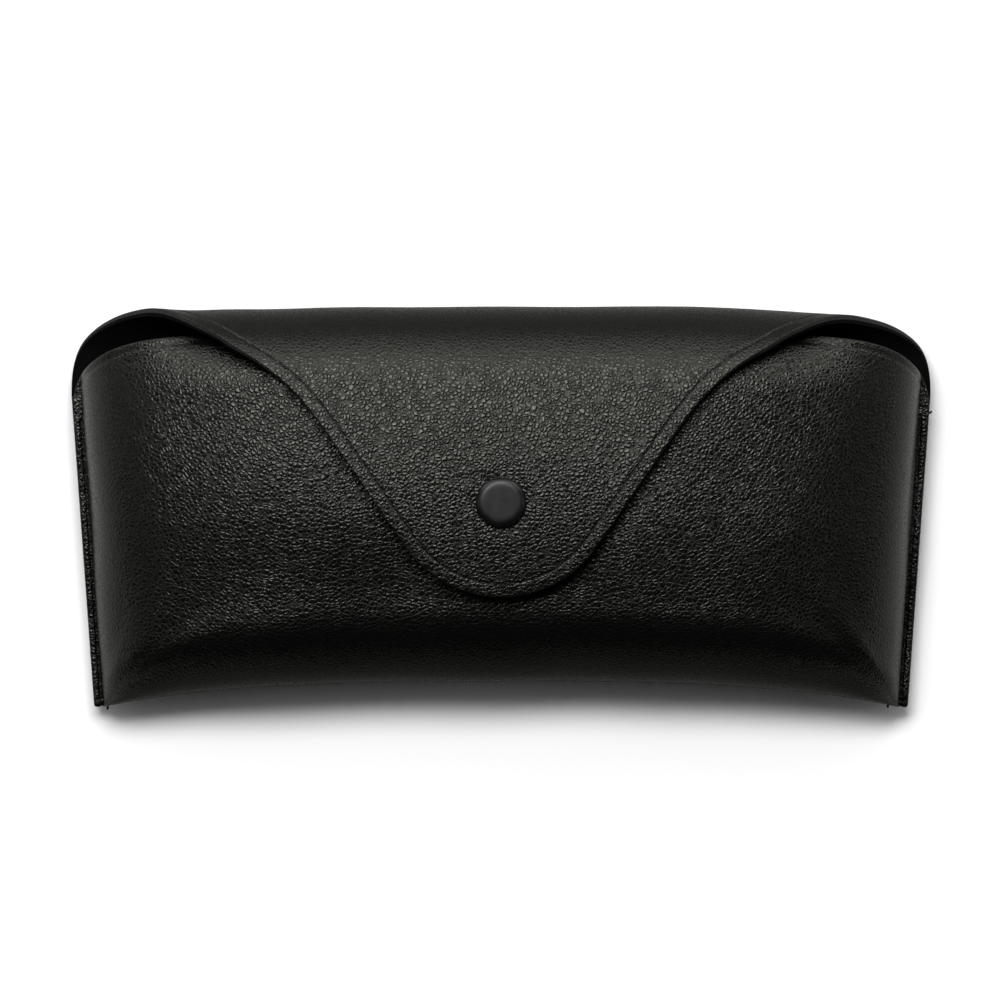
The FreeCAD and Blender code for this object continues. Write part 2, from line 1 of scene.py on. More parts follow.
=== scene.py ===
# %% [markdown]
# # A soft pouch for glasses
# The case is one sheet of black pebble-grained leatherette, lined with brushed microfibre.  The sheet
# starts at the mouth, runs down the front, round the bottom, up the back, rolls over the top and ends
# in a bell-shaped flap with a press stud.  Two sewn side seams close it.  The CAD model holds the
# sizes and the bend lines, and this script gives each piece its surface.

# %% Load the frame
import json
import math
import bpy
import numpy as np
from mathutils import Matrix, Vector, kdtree


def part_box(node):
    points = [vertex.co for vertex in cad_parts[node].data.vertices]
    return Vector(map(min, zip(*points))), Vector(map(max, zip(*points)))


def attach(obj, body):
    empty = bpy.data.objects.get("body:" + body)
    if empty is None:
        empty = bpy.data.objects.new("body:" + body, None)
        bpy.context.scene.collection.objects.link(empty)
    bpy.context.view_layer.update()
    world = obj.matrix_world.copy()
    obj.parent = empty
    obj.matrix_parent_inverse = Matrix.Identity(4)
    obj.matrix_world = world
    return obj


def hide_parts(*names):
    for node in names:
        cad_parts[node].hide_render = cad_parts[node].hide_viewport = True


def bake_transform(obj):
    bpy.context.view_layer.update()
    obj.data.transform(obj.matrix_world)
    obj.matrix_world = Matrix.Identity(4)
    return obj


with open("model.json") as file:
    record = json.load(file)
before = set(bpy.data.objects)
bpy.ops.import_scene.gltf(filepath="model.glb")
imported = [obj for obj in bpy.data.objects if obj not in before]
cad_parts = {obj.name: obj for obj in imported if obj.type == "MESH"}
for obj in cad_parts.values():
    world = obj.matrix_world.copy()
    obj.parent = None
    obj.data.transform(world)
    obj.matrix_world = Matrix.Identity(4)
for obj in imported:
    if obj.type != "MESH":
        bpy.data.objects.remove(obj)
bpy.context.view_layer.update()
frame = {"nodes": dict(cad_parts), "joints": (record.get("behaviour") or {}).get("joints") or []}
MM = 0.001

# %% [markdown]
# ## Reading the sizes
# The three bend lines all lie on the outside of the rolled top, so the circle through them is the
# roll.  The flap carries on from the last bend line as a much wider arc whose highest point is the
# snap.  Both arcs follow from the joints and from the snap's box, so nothing is measured twice.

# %% Roll and flap arcs, in millimetres
def joint_point(name):
    """Where a joint's axis crosses the middle of the case."""
    joint = next(j for j in frame["joints"] if j["name"] == name)
    return np.array(joint["pos_m"]) / MM


def box_mm(node):
    """Lowest and highest corner of a CAD piece."""
    low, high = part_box(node)
    return np.array(low) / MM, np.array(high) / MM


def circle_through(a, b, c):
    """Centre and radius of the circle through three points, seen along X."""
    rows = np.array([b - a, c - a])[:, 1:]
    right = 0.5 * np.array([b[1:] @ b[1:] - a[1:] @ a[1:], c[1:] @ c[1:] - a[1:] @ a[1:]])
    centre = np.linalg.solve(rows, right)
    return centre, float(np.linalg.norm(a[1:] - centre))


back_bend, top_bend, flap_lift = map(joint_point, ("back_bend", "top_bend", "flap_lift"))
(roll_y, roll_z), roll_radius = circle_through(back_bend, top_bend, flap_lift)
cap_low, cap_high = box_mm("snap_cap")
snap_y = (cap_low[1] + cap_high[1]) / 2
lift_way = (flap_lift[1:] - (roll_y, roll_z)) / roll_radius
flap_radius = (flap_lift[1] - snap_y) / lift_way[0]
flap_centre_z = flap_lift[2] - flap_radius * lift_way[1]
crown_z = flap_centre_z + flap_radius
lift_angle = math.atan2(lift_way[1], lift_way[0])
print(f"roll radius {roll_radius:.2f}, flap radius {flap_radius:.1f}, crown {crown_z:.2f} mm")

# %% [markdown]
# ## The pouch's bulge
# A stuffed pouch is flat in the middle and falls away steeply near its side seams, where front and
# back meet in a thin sewn strip.  One number, the swell, goes from 1 in the middle to 0 at the seam
# and drives every height of a section, so the whole body is a formula and no outline is drawn.

# %% Sections of the pouch
LEATHER = 0.9           # thickness of the leather
LINING_TOP = 0.95       # depth of the lining's glued face
STACK = 1.65            # depth of the lining's inner face
SEAM_GAP = 0.6          # glue between the two linings in a seam
SEAM_THICKNESS = 2 * STACK + SEAM_GAP
SEAM_RISE = 3.6         # height of a seam over the table
SEAM_WIDTH = 2.0        # sewn strip outside the wall
SEAM_SHARE = 0.97525    # where that strip starts, as a share of the half width
SEAM_TOP_Y = 17.0       # upper end of a side seam
BULGE_POWER = 5.0       # higher keeps the front flat further out
BULGE_ROOT = 2.2        # higher makes the walls steeper at the seam
RISE_START = 0.72       # where the back begins to lift, as a share of the half width
MOUTH_POWER = 8.0       # higher keeps the mouth level further out
MOUTH_ROOT = 0.38       # lower drops it to the seams more steeply
BACK_CORNER_Y = 24.0    # where the case is as wide as it gets
SIDE_FLARE = 0.072      # how much the sides open towards the mouth
BOTTOM_ARCH = 5.0       # how far the middle of the bottom lies above its corners
MOUTH_DROP = 0.8        # how far the tucked mouth turns below the front's highest line

pouch_low, pouch_high = box_mm("pouch_leather")
mouth_y, panel_z = pouch_high[1:]
flare_origin = pouch_high[0] - SIDE_FLARE * BACK_CORNER_Y
tuck_radius = panel_z - roll_radius - MOUTH_DROP
panel_over = panel_z - roll_radius
panel_radius = (((roll_y - snap_y) ** 2 + panel_over ** 2 - tuck_radius ** 2)
                / (2 * (panel_over - tuck_radius)))
join_y = snap_y + panel_radius * (roll_y - snap_y) / (panel_radius - tuck_radius)


def front_height(y):
    """Height of the front's middle line over the table."""
    wide = panel_z - panel_radius + np.sqrt(panel_radius ** 2 - (y - snap_y) ** 2)
    tuck = roll_radius + np.sqrt(np.maximum(tuck_radius ** 2 - (y - roll_y) ** 2, 0.01))
    return np.where(y < join_y, wide, tuck)


def front_slope(y):
    """Slope of the front's middle line."""
    wide = -(y - snap_y) / np.sqrt(panel_radius ** 2 - (y - snap_y) ** 2)
    tuck = -(y - roll_y) / np.sqrt(np.maximum(tuck_radius ** 2 - (y - roll_y) ** 2, 0.01))
    return np.where(y < join_y, wide, tuck)


bottom_y = pouch_low[1] + BOTTOM_ARCH
turn_radius = roll_radius
for _ in range(30):
    turn_radius = float(front_height(bottom_y + turn_radius)) / 2
turn_y = bottom_y + turn_radius
print(f"front panel radius {panel_radius:.0f}, bottom turn radius {turn_radius:.2f} mm")


def across(share, y):
    """X of a share of the half width."""
    return share * (flare_origin + SIDE_FLARE * y)


def back_lift(share):
    """How far the back rises towards the side seams."""
    inner = np.minimum(np.abs(share) / SEAM_SHARE, 1.0)
    return SEAM_RISE * np.maximum(0.0, (inner - RISE_START) / (1 - RISE_START)) ** 2


def section(share):
    """Swell, height, bottom and mouth of the pouch at a share of its half width."""
    side = np.minimum(np.abs(share), 1.0)
    inner = np.minimum(side / SEAM_SHARE, 1.0)
    swell = (1 - inner ** BULGE_POWER) ** (1 / BULGE_ROOT)
    height = SEAM_THICKNESS + (2 * turn_radius - SEAM_THICKNESS) * swell
    bottom = bottom_y - BOTTOM_ARCH * inner ** 3
    open_y = SEAM_TOP_Y + (mouth_y - SEAM_TOP_Y) * (1 - side ** MOUTH_POWER) ** MOUTH_ROOT
    return swell, height, bottom, open_y


def smooth(low, high, value):
    """0 below low, 1 above high, and an even ease in between."""
    t = np.clip((value - low) / (high - low), 0, 1)
    return t * t * (3 - 2 * t)


def hill(value, middle, width):
    """Bell that is 1 at its middle."""
    return np.exp(-((value - middle) / width) ** 2)

# %% [markdown]
# ## The flap's outline, laid flat
# The roll and the flap bend one way only, so they can be laid flat without stretching.  On the flat
# sheet a point has a distance along it, counted from where the roll leaves the table, and an X.  The
# outline is drawn there as the pattern cutter would see it, and is eased where two curves meet.

# %% Distances along the sheet
def along(y):
    """Distance along the sheet to a height y on the top of the roll or on the flap."""
    on_roll = roll_radius * (np.arccos(np.clip((y - roll_y) / roll_radius, -1, 1)) + math.pi / 2)
    turn = math.pi / 2 + np.arcsin((snap_y - y) / flap_radius) - lift_angle
    on_flap = lift_along + flap_radius * turn
    return np.where(y > flap_lift[1], on_roll, on_flap)


def sink(x):
    """How far the roll's far edge is drawn in from the CAD's, most near its right end."""
    return 0.5 * hill(x, -62, 6.5) + 0.4 * hill(x, -50, 14) + 1.8 * smooth(35, 78, x)


def placed(distance, x, depth=0.0):
    """Point of the sheet beyond the pouch, a depth under its outside."""
    turn = distance / roll_radius - math.pi / 2
    past = lift_angle + (distance - lift_along) / flap_radius
    on_roll = distance < lift_along
    y = np.where(on_roll, roll_y + (roll_radius - depth) * np.cos(turn),
                 snap_y + (flap_radius - depth) * np.cos(past))
    z = np.where(on_roll, roll_z + (roll_radius - depth) * np.sin(turn),
                 flap_centre_z + (flap_radius - depth) * np.sin(past))
    lift = back_lift(x / (flare_origin + SIDE_FLARE * y)) * smooth(60, 30, distance)
    ease = 0.8 * np.minimum(lift, 1.0)
    lifted = lift + depth
    blended = (z + lifted + np.sqrt((z - lifted) ** 2 + ease ** 2)) / 2
    z = np.where(turn < 0, blended, z)
    y = y - sink(x) * np.cos(np.clip(turn, -math.pi / 2, math.pi / 2)) ** 2
    return np.stack([x + 0 * y, y + 0 * x, z], axis=-1)


def at_angle(degrees):
    """Distance along the sheet to a direction round the roll, 0 being straight away."""
    return roll_radius * math.radians(degrees + 90)


lift_along = roll_radius * (lift_angle + math.pi / 2)
print(f"the flap starts {lift_along:.1f} mm along the sheet")

# %% [markdown]
# ## The pattern's edge
# The real flap is cut with a knife round a pattern: a round tip, two straight sides and two wide
# flares that run out over the roll to the corners.  Three arcs and a straight line draw that bell.
# Behind the flares the sheet is pulled in by hand as it is sewn and follows no arc, so there the
# outline goes through a row of half widths, each at a direction round the roll.  It is then eased,
# as a cutter's hand would, where two curves meet.

# %% Outline on the flat sheet
TIP_Y = box_mm("flap_leather")[0][1]
TIP_RADIUS = 23.0
SLOPE = math.radians(55.5)
SLOPE_LENGTH = 28.9
FLARE_RADIUS = 51.0
FLARE = math.radians(27.4)

# half widths round the back of the roll, by direction in degrees, then up to the flap's corner
fold_sides = [(-90, 85.3), (-80, 85.35), (-69, 84.95), (-56.4, 83.8), (-49, 82.6), (-43.7, 81.4),
              (-38.8, 80.2), (-34.5, 79.05), (-30.2, 77.8), (-26.2, 76.6), (-22.4, 75.4), (-19, 74.2),
              (-15.8, 73.05), (-12, 71.9), (-7.5, 70.7), (-2, 69.4), (4, 67.9), (10.5, 66.2), (18, 64.3),
              (27, 62.1), (34, 60.1), (41.3, 57.8), (48.3, 55.2)]
start = np.array([TIP_RADIUS * math.sin(SLOPE), TIP_Y + TIP_RADIUS * (1 - math.cos(SLOPE))])
bell = []
flare_start = start + SLOPE_LENGTH * np.array([math.cos(SLOPE), math.sin(SLOPE)])
for turned in np.linspace(FLARE, SLOPE, 16):
    bell.append(flare_start + FLARE_RADIUS * np.array([math.sin(SLOPE) - math.sin(turned),
                                                      math.cos(turned) - math.cos(SLOPE)]))
for share in np.linspace(0, 1, 20)[1:]:
    bell.append(flare_start + share * (start - flare_start))
for turned in np.linspace(SLOPE, 0, 30)[1:]:
    bell.append((TIP_RADIUS * math.sin(turned), TIP_Y + TIP_RADIUS * (1 - math.cos(turned))))
bell = np.array(bell)
rough = np.array([(at_angle(degrees), x) for degrees, x in fold_sides])
rough = np.concatenate([rough, np.stack([along(bell[:, 1]), bell[:, 0]], axis=1)])
STEP = 0.2      # between points of the outline
EASE = 1.7      # over which a corner of the outline is rounded


def lengths(points):
    """Running length at each point of a line."""
    return np.concatenate([[0], np.cumsum(np.linalg.norm(np.diff(points, axis=0), axis=1))])


def resampled(points, places):
    """Points of a line at given running lengths."""
    run = lengths(points)
    return np.stack([np.interp(places, run, points[:, k]) for k in range(points.shape[1])], axis=1)


def eased(points):
    """Outline with its corners eased, mirrored past the tip and carried straight past its start."""
    total = lengths(points)[-1]
    outline = resampled(points, np.arange(0, total, STEP))
    outline = np.concatenate([outline, points[-1:]])
    reach = int(4 * EASE / STEP)
    before = 2 * outline[0] - outline[reach:0:-1]
    after = outline[-2:-reach - 2:-1] * [1, -1]
    padded = np.concatenate([before, outline, after])
    weights = hill(np.arange(-reach, reach + 1) * STEP, 0, EASE * math.sqrt(2))
    weights /= weights.sum()
    return np.stack([np.convolve(padded[:, k], weights, "valid") for k in (0, 1)], axis=1)


outline = eased(rough)
outline[-1, 1] = 0.0
tangent = np.gradient(outline, axis=0)
tangent /= np.linalg.norm(tangent, axis=1, keepdims=True)
inward = np.stack([tangent[:, 1], -tangent[:, 0]], axis=1)
outline_run = lengths(outline)
print(f"outline of half the sheet past the back: {outline_run[-1]:.0f} mm long")

# %% [markdown]
# ## Rows and columns
# Every sheet is a grid.  Columns crowd where the edge is rounded and where the stitches sink in, so
# that the groove is real geometry.  Near the flap's tip the rows bend into the shape of the tip, and
# the outer columns carry on round it, which keeps the groove's grid lines parallel to the edge.

# %% Column places
EDGE = np.array([0, 0.1, 0.25, 0.5, 0.9, 1.4, 1.8, 2.1, 2.3, 2.5, 2.7, 2.9, 3.2, 3.6, 4.2])
BAND = len(EDGE)
INSIDE = 131
COLUMNS = 2 * (BAND - 1) + INSIDE
STRIP = np.array([0, 0.1, 0.25, 0.5, 0.9, 1.2, 1.4, 1.55, 1.7, 1.85, 2.0])


def pouch_shares():
    """Shares of the half width, evenly spaced over the strip, the steep wall and the front."""
    inner = 1 - np.linspace(0, 1, 4000) ** 3
    swell = (1 - inner ** BULGE_POWER) ** (1 / BULGE_ROOT)
    run = lengths(np.stack([inner * SEAM_SHARE * flare_origin, 2 * turn_radius * swell], axis=1))
    count = (COLUMNS + 1) // 2 - len(STRIP)
    wall = np.interp(np.linspace(0, run[-1], count + 1)[1:], run, inner) * SEAM_SHARE
    strip = 1 - STRIP / SEAM_WIDTH * (1 - SEAM_SHARE)
    half = np.concatenate([strip, wall])
    return np.concatenate([-half[:-1], half[::-1]])


shares = pouch_shares()
print(COLUMNS, "columns, closest", round(float(np.diff(shares).min()) * flare_origin, 3), "mm")

# %% [markdown]
# ## Rows along the sheet
# Rows follow the wrap from the mouth down the front, round the bottom, up the back and over the roll.
# They are closest where the sheet bends most.  The sheet is cut into its four bodies at three
# directions round the roll, and each cut lies on a row, so that the pieces on both sides of it share
# their points.

# %% Row places
front_rows = np.concatenate([mouth_y - EDGE, np.linspace(mouth_y - EDGE[-1], turn_y, 66)[1:]])
turn_rows = np.radians(np.linspace(90, 270, 34)[1:])
back_rows = np.linspace(0, 1, 37)[1:-1]
CUTS = [at_angle(-85), at_angle(-17.5), at_angle(47.5)]
straight_end = float(along(flare_start[1]))
knots = [0.0] + CUTS + [lift_along, straight_end]
fold_rows = [0.0]
for low, high in zip(knots, knots[1:]):
    fold_rows += list(np.linspace(low, high, max(2, round((high - low) / 1.0)) + 1)[1:])
fold_rows = np.array(fold_rows)
straight_index = int(np.argmin(np.abs(outline[:, 0] - straight_end)))
tip_index = int(np.argmin(np.linalg.norm(outline - [along(start[1]), start[0]], axis=1)))
bent_places = np.linspace(outline_run[straight_index], outline_run[tip_index], 28)[1:]
ROWS = len(front_rows) + len(turn_rows) + len(back_rows) + len(fold_rows) + len(bent_places)
print(ROWS, "rows by", COLUMNS, "columns")

# %% [markdown]
# ## Rows of the roll and of the flap
# A row of the roll runs straight across.  A row of the flap has to end square to the edge, or the
# stitch groove would break into steps, so the rows swing from level to square on their way to the
# tip.  The tip itself is a set of curves, each at its own distance inside the edge.  A plain square
# grid would be simpler, but its steps would show along the rounded edge.

# %% Grid of the sheet past the pouch, laid flat
def offset_curve(distance):
    """The outline moved inwards."""
    return outline + distance * inward


def fold_band(row):
    """Outer columns of a straight row, from the outline inwards."""
    band = []
    for distance in EDGE:
        curve = offset_curve(distance)[:tip_index]
        band.append((row, np.interp(row, np.maximum.accumulate(curve[:, 0]), curve[:, 1])))
    return np.array(band)


def bent_band(place, bend):
    """Outer columns of a bent row, which swing square to the outline as bend goes to 1."""
    point = np.array([np.interp(place, outline_run, outline[:, k]) for k in (0, 1)])
    square = np.array([np.interp(place, outline_run, inward[:, k]) for k in (0, 1)])
    level = fold_band(point[0])
    return (1 - bend) * level + bend * (point + EDGE[:, None] * square)


tip_places = np.linspace(outline_run[tip_index], 2 * outline_run[-1] - outline_run[tip_index], INSIDE)


def tip_curve(distance):
    """Curve round the tip, a distance inside the outline, from left to right."""
    folded = outline_run[-1] - np.abs(outline_run[-1] - tip_places)
    side = np.where(tip_places < outline_run[-1], -1.0, 1.0)
    point = np.stack([np.interp(folded, outline_run, outline[:, k]) for k in (0, 1)], axis=1)
    square = np.stack([np.interp(folded, outline_run, inward[:, k]) for k in (0, 1)], axis=1)
    square /= np.linalg.norm(square, axis=1, keepdims=True)
    curve = point + distance * square
    return np.stack([curve[:, 0], side * curve[:, 1]], axis=1)


inner_tip = tip_curve(EDGE[-1])
inner_tip[INSIDE // 2, 1] = 0.0
tip_shape = (inner_tip - [inner_tip[-1, 0], 0]) / inner_tip[-1, 1]
even = np.linspace(-1, 1, INSIDE)


def flat_row(band, bend):
    """A whole row: its left band, its inside and its right band."""
    end = band[-1]
    x = end[1] * ((1 - bend) * even + bend * tip_shape[:, 1])
    distance = end[0] + bend * end[1] * tip_shape[:, 0]
    inside = np.stack([distance, x], axis=1)
    return np.concatenate([band[:-1] * [1, -1], inside, band[-2::-1]])


bends = smooth(0, 1, np.arange(1, len(bent_places) + 1) / len(bent_places))
flat_grid = [flat_row(fold_band(row), 0.0) for row in fold_rows]
flat_grid += [flat_row(bent_band(place, bend), bend) for place, bend in zip(bent_places, bends)]
flat_grid = np.array(flat_grid)
tip_grid = np.array([tip_curve(distance) for distance in EDGE[-2::-1]])
print("flat grid", flat_grid.shape, "tip grid", tip_grid.shape)

# %% [markdown]
# ## Where the sheet lies
# The same rows and columns are placed at any depth under the outside, which gives the leather's two
# faces and the lining's two faces.  At the side seams the lining's inner faces meet in the middle,
# where the seam's glue fills them up.

# %% Points of the whole sheet
SIDE_TUCK = 0.38    # how much less than the CAD's the mouth is tucked in near the sides
CLEAR = 0.02        # left between the two linings in a seam


def pouch_points(depth):
    """Points of the front, the bottom and the back, a depth under the outside."""
    share = shares[None, :]
    swell, height, bottom, open_y = section(share)
    base = back_lift(share)
    in_seam = smooth(SEAM_SHARE - 0.004, SEAM_SHARE, np.abs(share))
    fill = (SEAM_GAP / 2 - CLEAR) * in_seam * (depth >= STACK)
    depth = depth + fill
    start = bottom + height / 2

    # front: the middle line's height, lowered by the swell and moved in square to itself
    y = front_rows[:, None]
    squeeze = (open_y - start) / (mouth_y - turn_y)
    gentle = 1 - SIDE_TUCK * smooth(0.66, 0.84, np.abs(share))
    read_y = np.where(y < join_y, y, join_y + (y - join_y) * gentle)
    slope = swell * front_slope(read_y) * np.where(y < join_y, 1.0, gentle)
    length = np.hypot(squeeze, slope)
    place = start + (y - turn_y) * squeeze + depth * slope / length
    rise = base + SEAM_THICKNESS * (1 - swell) + front_height(read_y) * swell - depth * squeeze / length
    front = np.stack([across(share, place), place, rise], axis=-1)

    # bottom: half a circle from the front round to the back
    half = height / 2
    angle = turn_rows[:, None]
    place = start + (half - depth) * np.cos(angle)
    rise = base + half + (half - depth) * np.sin(angle)
    turn = np.stack([across(share, place), place, rise], axis=-1)

    # back: flat on the table, lifted at the seams, and led over to the roll's own columns
    place = start + (roll_y - start) * back_rows[:, None]
    fold_share = flat_grid[0, :, 1] / across(1.0, roll_y)
    moved = smooth(-12.0, roll_y - 1.0, place)
    back_share = (1 - moved) * share + moved * fold_share[None, :]
    seamed = np.where(place > SEAM_TOP_Y, depth - fill, depth)
    back = np.stack([across(back_share, place), place, back_lift(back_share) + seamed], axis=-1)
    return np.concatenate([front, turn, back])


def sheet_points(depth):
    """All points of the sheet: the rows one after another, then the tip's."""
    fold = placed(flat_grid[..., 0], flat_grid[..., 1], depth)
    tip = placed(tip_grid[:, 1:-1, 0], tip_grid[:, 1:-1, 1], depth)
    return np.concatenate([pouch_points(depth).reshape(-1, 3), fold.reshape(-1, 3), tip.reshape(-1, 3)])


main_index = np.arange(ROWS * COLUMNS).reshape(ROWS, COLUMNS)
tip_index_grid = np.zeros((BAND, INSIDE), int)
tip_index_grid[0] = main_index[-1, BAND - 1:COLUMNS - BAND + 1]
tip_index_grid[1:, 1:-1] = ROWS * COLUMNS + np.arange((BAND - 1) * (INSIDE - 2)).reshape(BAND - 1, -1)
tip_index_grid[1:, 0] = main_index[-1, BAND - 2::-1]
tip_index_grid[1:, -1] = main_index[-1, COLUMNS - BAND + 1:]


def quads(index):
    """Corners of all the cells of a grid."""
    a, b, c, d = index[:-1, :-1], index[1:, :-1], index[1:, 1:], index[:-1, 1:]
    return np.stack([a, b, c, d], axis=-1)


main_quads = quads(main_index)
tip_quads = quads(tip_index_grid).reshape(-1, 4)
all_quads = np.concatenate([main_quads.reshape(-1, 4), tip_quads])


def point_normals(points):
    """Unit normal at each point, from the quads round it."""
    corners = points[all_quads]
    facing = np.cross(corners[:, 2] - corners[:, 0], corners[:, 3] - corners[:, 1])
    total = np.zeros_like(points)
    for corner in range(4):
        np.add.at(total, all_quads[:, corner], facing)
    return total / np.maximum(np.linalg.norm(total, axis=1, keepdims=True), 1e-12)


plain = sheet_points(0.0)
plain_normals = point_normals(plain)
front_normal = plain_normals[main_index[40, COLUMNS // 2]].round(2)
print("points per face of the sheet:", len(plain), "front normal", front_normal)

# %% [markdown]
# ## What soft goods do
# A sewn edge puffs up between its edge and its stitches, and the stitches pull a groove into it.  The
# panel behind the groove swells again.  Near the corners the sheet has too much length for the bend,
# so it gathers in creases, and a stuffed panel is never quite even.  All of this is a small height
# over the plain sheet, in millimetres.  A simulated cloth could give it too, but it would lose the
# CAD model's sizes, and here every swell stays where its cause is.

# %% Relief of the outside
PITCH = 3.4             # from one stitch to the next
STITCH = 2.6            # the part of a stitch that shows
SEWN_INSET = 2.5        # from the edge to the row of stitches
EDGE_ROUND = 0.25       # width of the edge's rounding
EDGE_DROP = 0.18        # depth of the edge's rounding
GROOVE_WIDTH = 0.16
GROOVE_DEPTH = 0.22
RIBBON_PUFF = 0.03      # between the edge and the groove
PANEL_PUFF = 0.02       # behind the groove


def stitched_edge(edge, run, strength):
    """Rounded edge, puffed ribbon and stitch groove, by distance from the edge and along it."""
    pull = 1 + 0.12 * np.cos(2 * math.pi * run / PITCH)
    round_off = np.clip(1 - edge / EDGE_ROUND, 0, 1)
    drop = EDGE_DROP * (1 - np.sqrt(1 - round_off ** 2))
    puff = RIBBON_PUFF * hill(edge, 1.2, 0.8) + PANEL_PUFF * hill(edge, 4.0, 1.0)
    groove = GROOVE_DEPTH * pull * hill(edge, SEWN_INSET, GROOVE_WIDTH)
    return strength * (puff - groove) - drop


def calm(side):
    """How much of the edge's relief is left near the tip, where the sheet was pressed flatter."""
    return 1 - 0.6 * hill(side, 0, 14)


relief = np.zeros(len(plain))
grid_relief = relief[:ROWS * COLUMNS].reshape(ROWS, COLUMNS)
pouch_count = ROWS - len(flat_grid)
front_count = len(front_rows)
grid_points = plain[:ROWS * COLUMNS].reshape(ROWS, COLUMNS, 3)

# mouth hem
mouth_run = np.array([lengths(row)[:, None] for row in grid_points[:front_count]])[..., 0]
mouth_edge = lengths(grid_points[:front_count, COLUMNS // 2])[:, None]
hemmed = smooth(1.0, 0.975, np.abs(shares))[None, :]
grid_relief[:front_count] += stitched_edge(mouth_edge, mouth_run, hemmed)

# side seams: a rounded edge and a sunk row of stitches on the front and on the back
SEAM_INSET = 1.5
SEAM_ROUND = 0.35
SEAM_DROP = 0.28
SEAM_GROOVE = 0.22
seam_edge = (1 - np.abs(shares[None, :])) / (1 - SEAM_SHARE) * SEAM_WIDTH
seam_y = grid_points[:pouch_count, :, 1]
seamed = smooth(SEAM_TOP_Y + 1.5, SEAM_TOP_Y - 0.5, seam_y)
round_off = np.clip(1 - seam_edge / SEAM_ROUND, 0, 1)
grid_relief[:pouch_count] -= SEAM_DROP * (1 - np.sqrt(1 - round_off ** 2))
pull = 1 + 0.35 * np.cos(2 * math.pi * seam_y / PITCH)
puff = 0.10 * hill(seam_edge, SEAM_INSET / 2, 0.4)
grid_relief[:pouch_count] += seamed * (puff - SEAM_GROOVE * pull * hill(seam_edge, SEAM_INSET, 0.22))

# gathers on the wall over the seam, one to a stitch
GATHER = 0.16
wall_height = np.maximum(grid_points[:front_count, :, 2] - SEAM_RISE - SEAM_THICKNESS, 0)
on_wall = smooth(1.9, 2.6, seam_edge) * np.exp(-wall_height / 4.0)
gathers = np.cos(2 * math.pi * seam_y[:front_count] / PITCH)
grid_relief[:front_count] += GATHER * on_wall * gathers

# flap's edge, stitched from the top of the roll onwards
flat_edge = np.concatenate([EDGE, np.full(INSIDE - 2, 99.0), EDGE[::-1]])
flat_run = np.concatenate([
    np.interp(fold_rows, outline[:tip_index, 0], outline_run[:tip_index]), bent_places])
sewn = smooth(at_angle(-6), at_angle(4), flat_grid[:, 0, 0]) * calm(flat_grid[:, 0, 1])
grid_relief[pouch_count:] += stitched_edge(flat_edge[None, :], flat_run[:, None], sewn[:, None])
tip_calm = calm(tip_grid[:, 1:-1, 1])
relief[ROWS * COLUMNS:] += stitched_edge(EDGE[-2::-1, None], tip_places[None, 1:-1], tip_calm).ravel()
print("relief from", relief.min().round(2), "to", relief.max().round(2), "mm")

# %% [markdown]
# ## Creases, slack and the dent round the snap
# A bottom corner gathers the front, the bottom and the back into one point, so creases fan out of it.
# No stuffed panel is even, so a few long waves with a fixed seed run over the sheet.  The lower half
# of the front is drawn slack and falls away towards the bottom, where it lies a little under the CAD
# body's front.  Why the real one does is not known: perhaps nothing in the case fills it.  The snap
# is clenched through the flap and draws it in a little.  Waves are used and no cloth is simulated,
# because the CAD body gives the shape already and only its small unevenness is missing.

# %% Creases, unevenness, slack and dent
CREASE = 0.12
POUCH_WAVES, FLAP_WAVES = 0.20, 0.09
SLACK = 1.3     # most that the front lies under the CAD body's
DENT, DENT_RING = 0.12, 0.04
x, y, z = plain.T
front_side = smooth(-0.3, 0.3, plain_normals[:, 2])


def creases(side):
    """Folds that fan out of a bottom corner."""
    corner_x = side * across(1.0, pouch_low[1])
    from_corner = np.hypot(x - corner_x, y - pouch_low[1])
    angle = np.arctan2(y - pouch_low[1], (corner_x - x) * side)
    fan = np.sin(angle * 13 + 0.6 * side + 0.05 * from_corner) + 0.5 * np.sin(angle * 21 + 1.3)
    reach = smooth(4, 11, from_corner) * smooth(40, 15, from_corner)
    return CREASE * fan * reach * smooth(0.15, 0.5, angle) * smooth(1.45, 1.0, angle)


def uneven(points, waves, seed):
    """Sum of a few long waves, from -1 to 1 or so."""
    picks = np.random.default_rng(seed)
    total = np.zeros(len(points))
    for _ in range(waves):
        angle = picks.uniform(0, math.pi)
        length = picks.uniform(18, 46)
        way = np.array([math.cos(angle), math.sin(angle), 0.6 * math.sin(angle)])
        total += np.sin(2 * math.pi * (points @ way) / length + picks.uniform(0, 6.28))
    return total / math.sqrt(waves)


snap_distance = np.hypot(x, y - snap_y)
away = smooth(9, 20, snap_distance)
on_pouch = np.zeros(len(plain), bool)
on_pouch[:pouch_count * COLUMNS] = True
relief += np.where(on_pouch, POUCH_WAVES * front_side, FLAP_WAVES * away) * uneven(plain, 9, 4)
above = smooth(-0.6, 0.2, plain_normals[:, 2])
relief += np.where(on_pouch, (creases(1) + creases(-1)) * above, 0.0)
falling = smooth(1, 25, -y) * smooth(0.0, 0.75, plain_normals[:, 2])
slack = np.where(on_pouch, -SLACK * falling, 0.0)
dent = DENT_RING * hill(snap_distance, 7.6, 1.6) - DENT * hill(snap_distance, 5.2, 0.8)
relief += np.where(on_pouch, 0.0, dent)
print("relief from", relief.min().round(2), "to", relief.max().round(2), "mm")

# %% [markdown]
# ## From points to pieces
# Leather and lining are separate sheets, each closed all round: an outside, an inside and a rim.  The
# sheet is cut into four pieces where it bends, and neighbours share their points along the cut.  Each
# piece keeps the normals of the whole sheet, so that no cut shows in the shine.

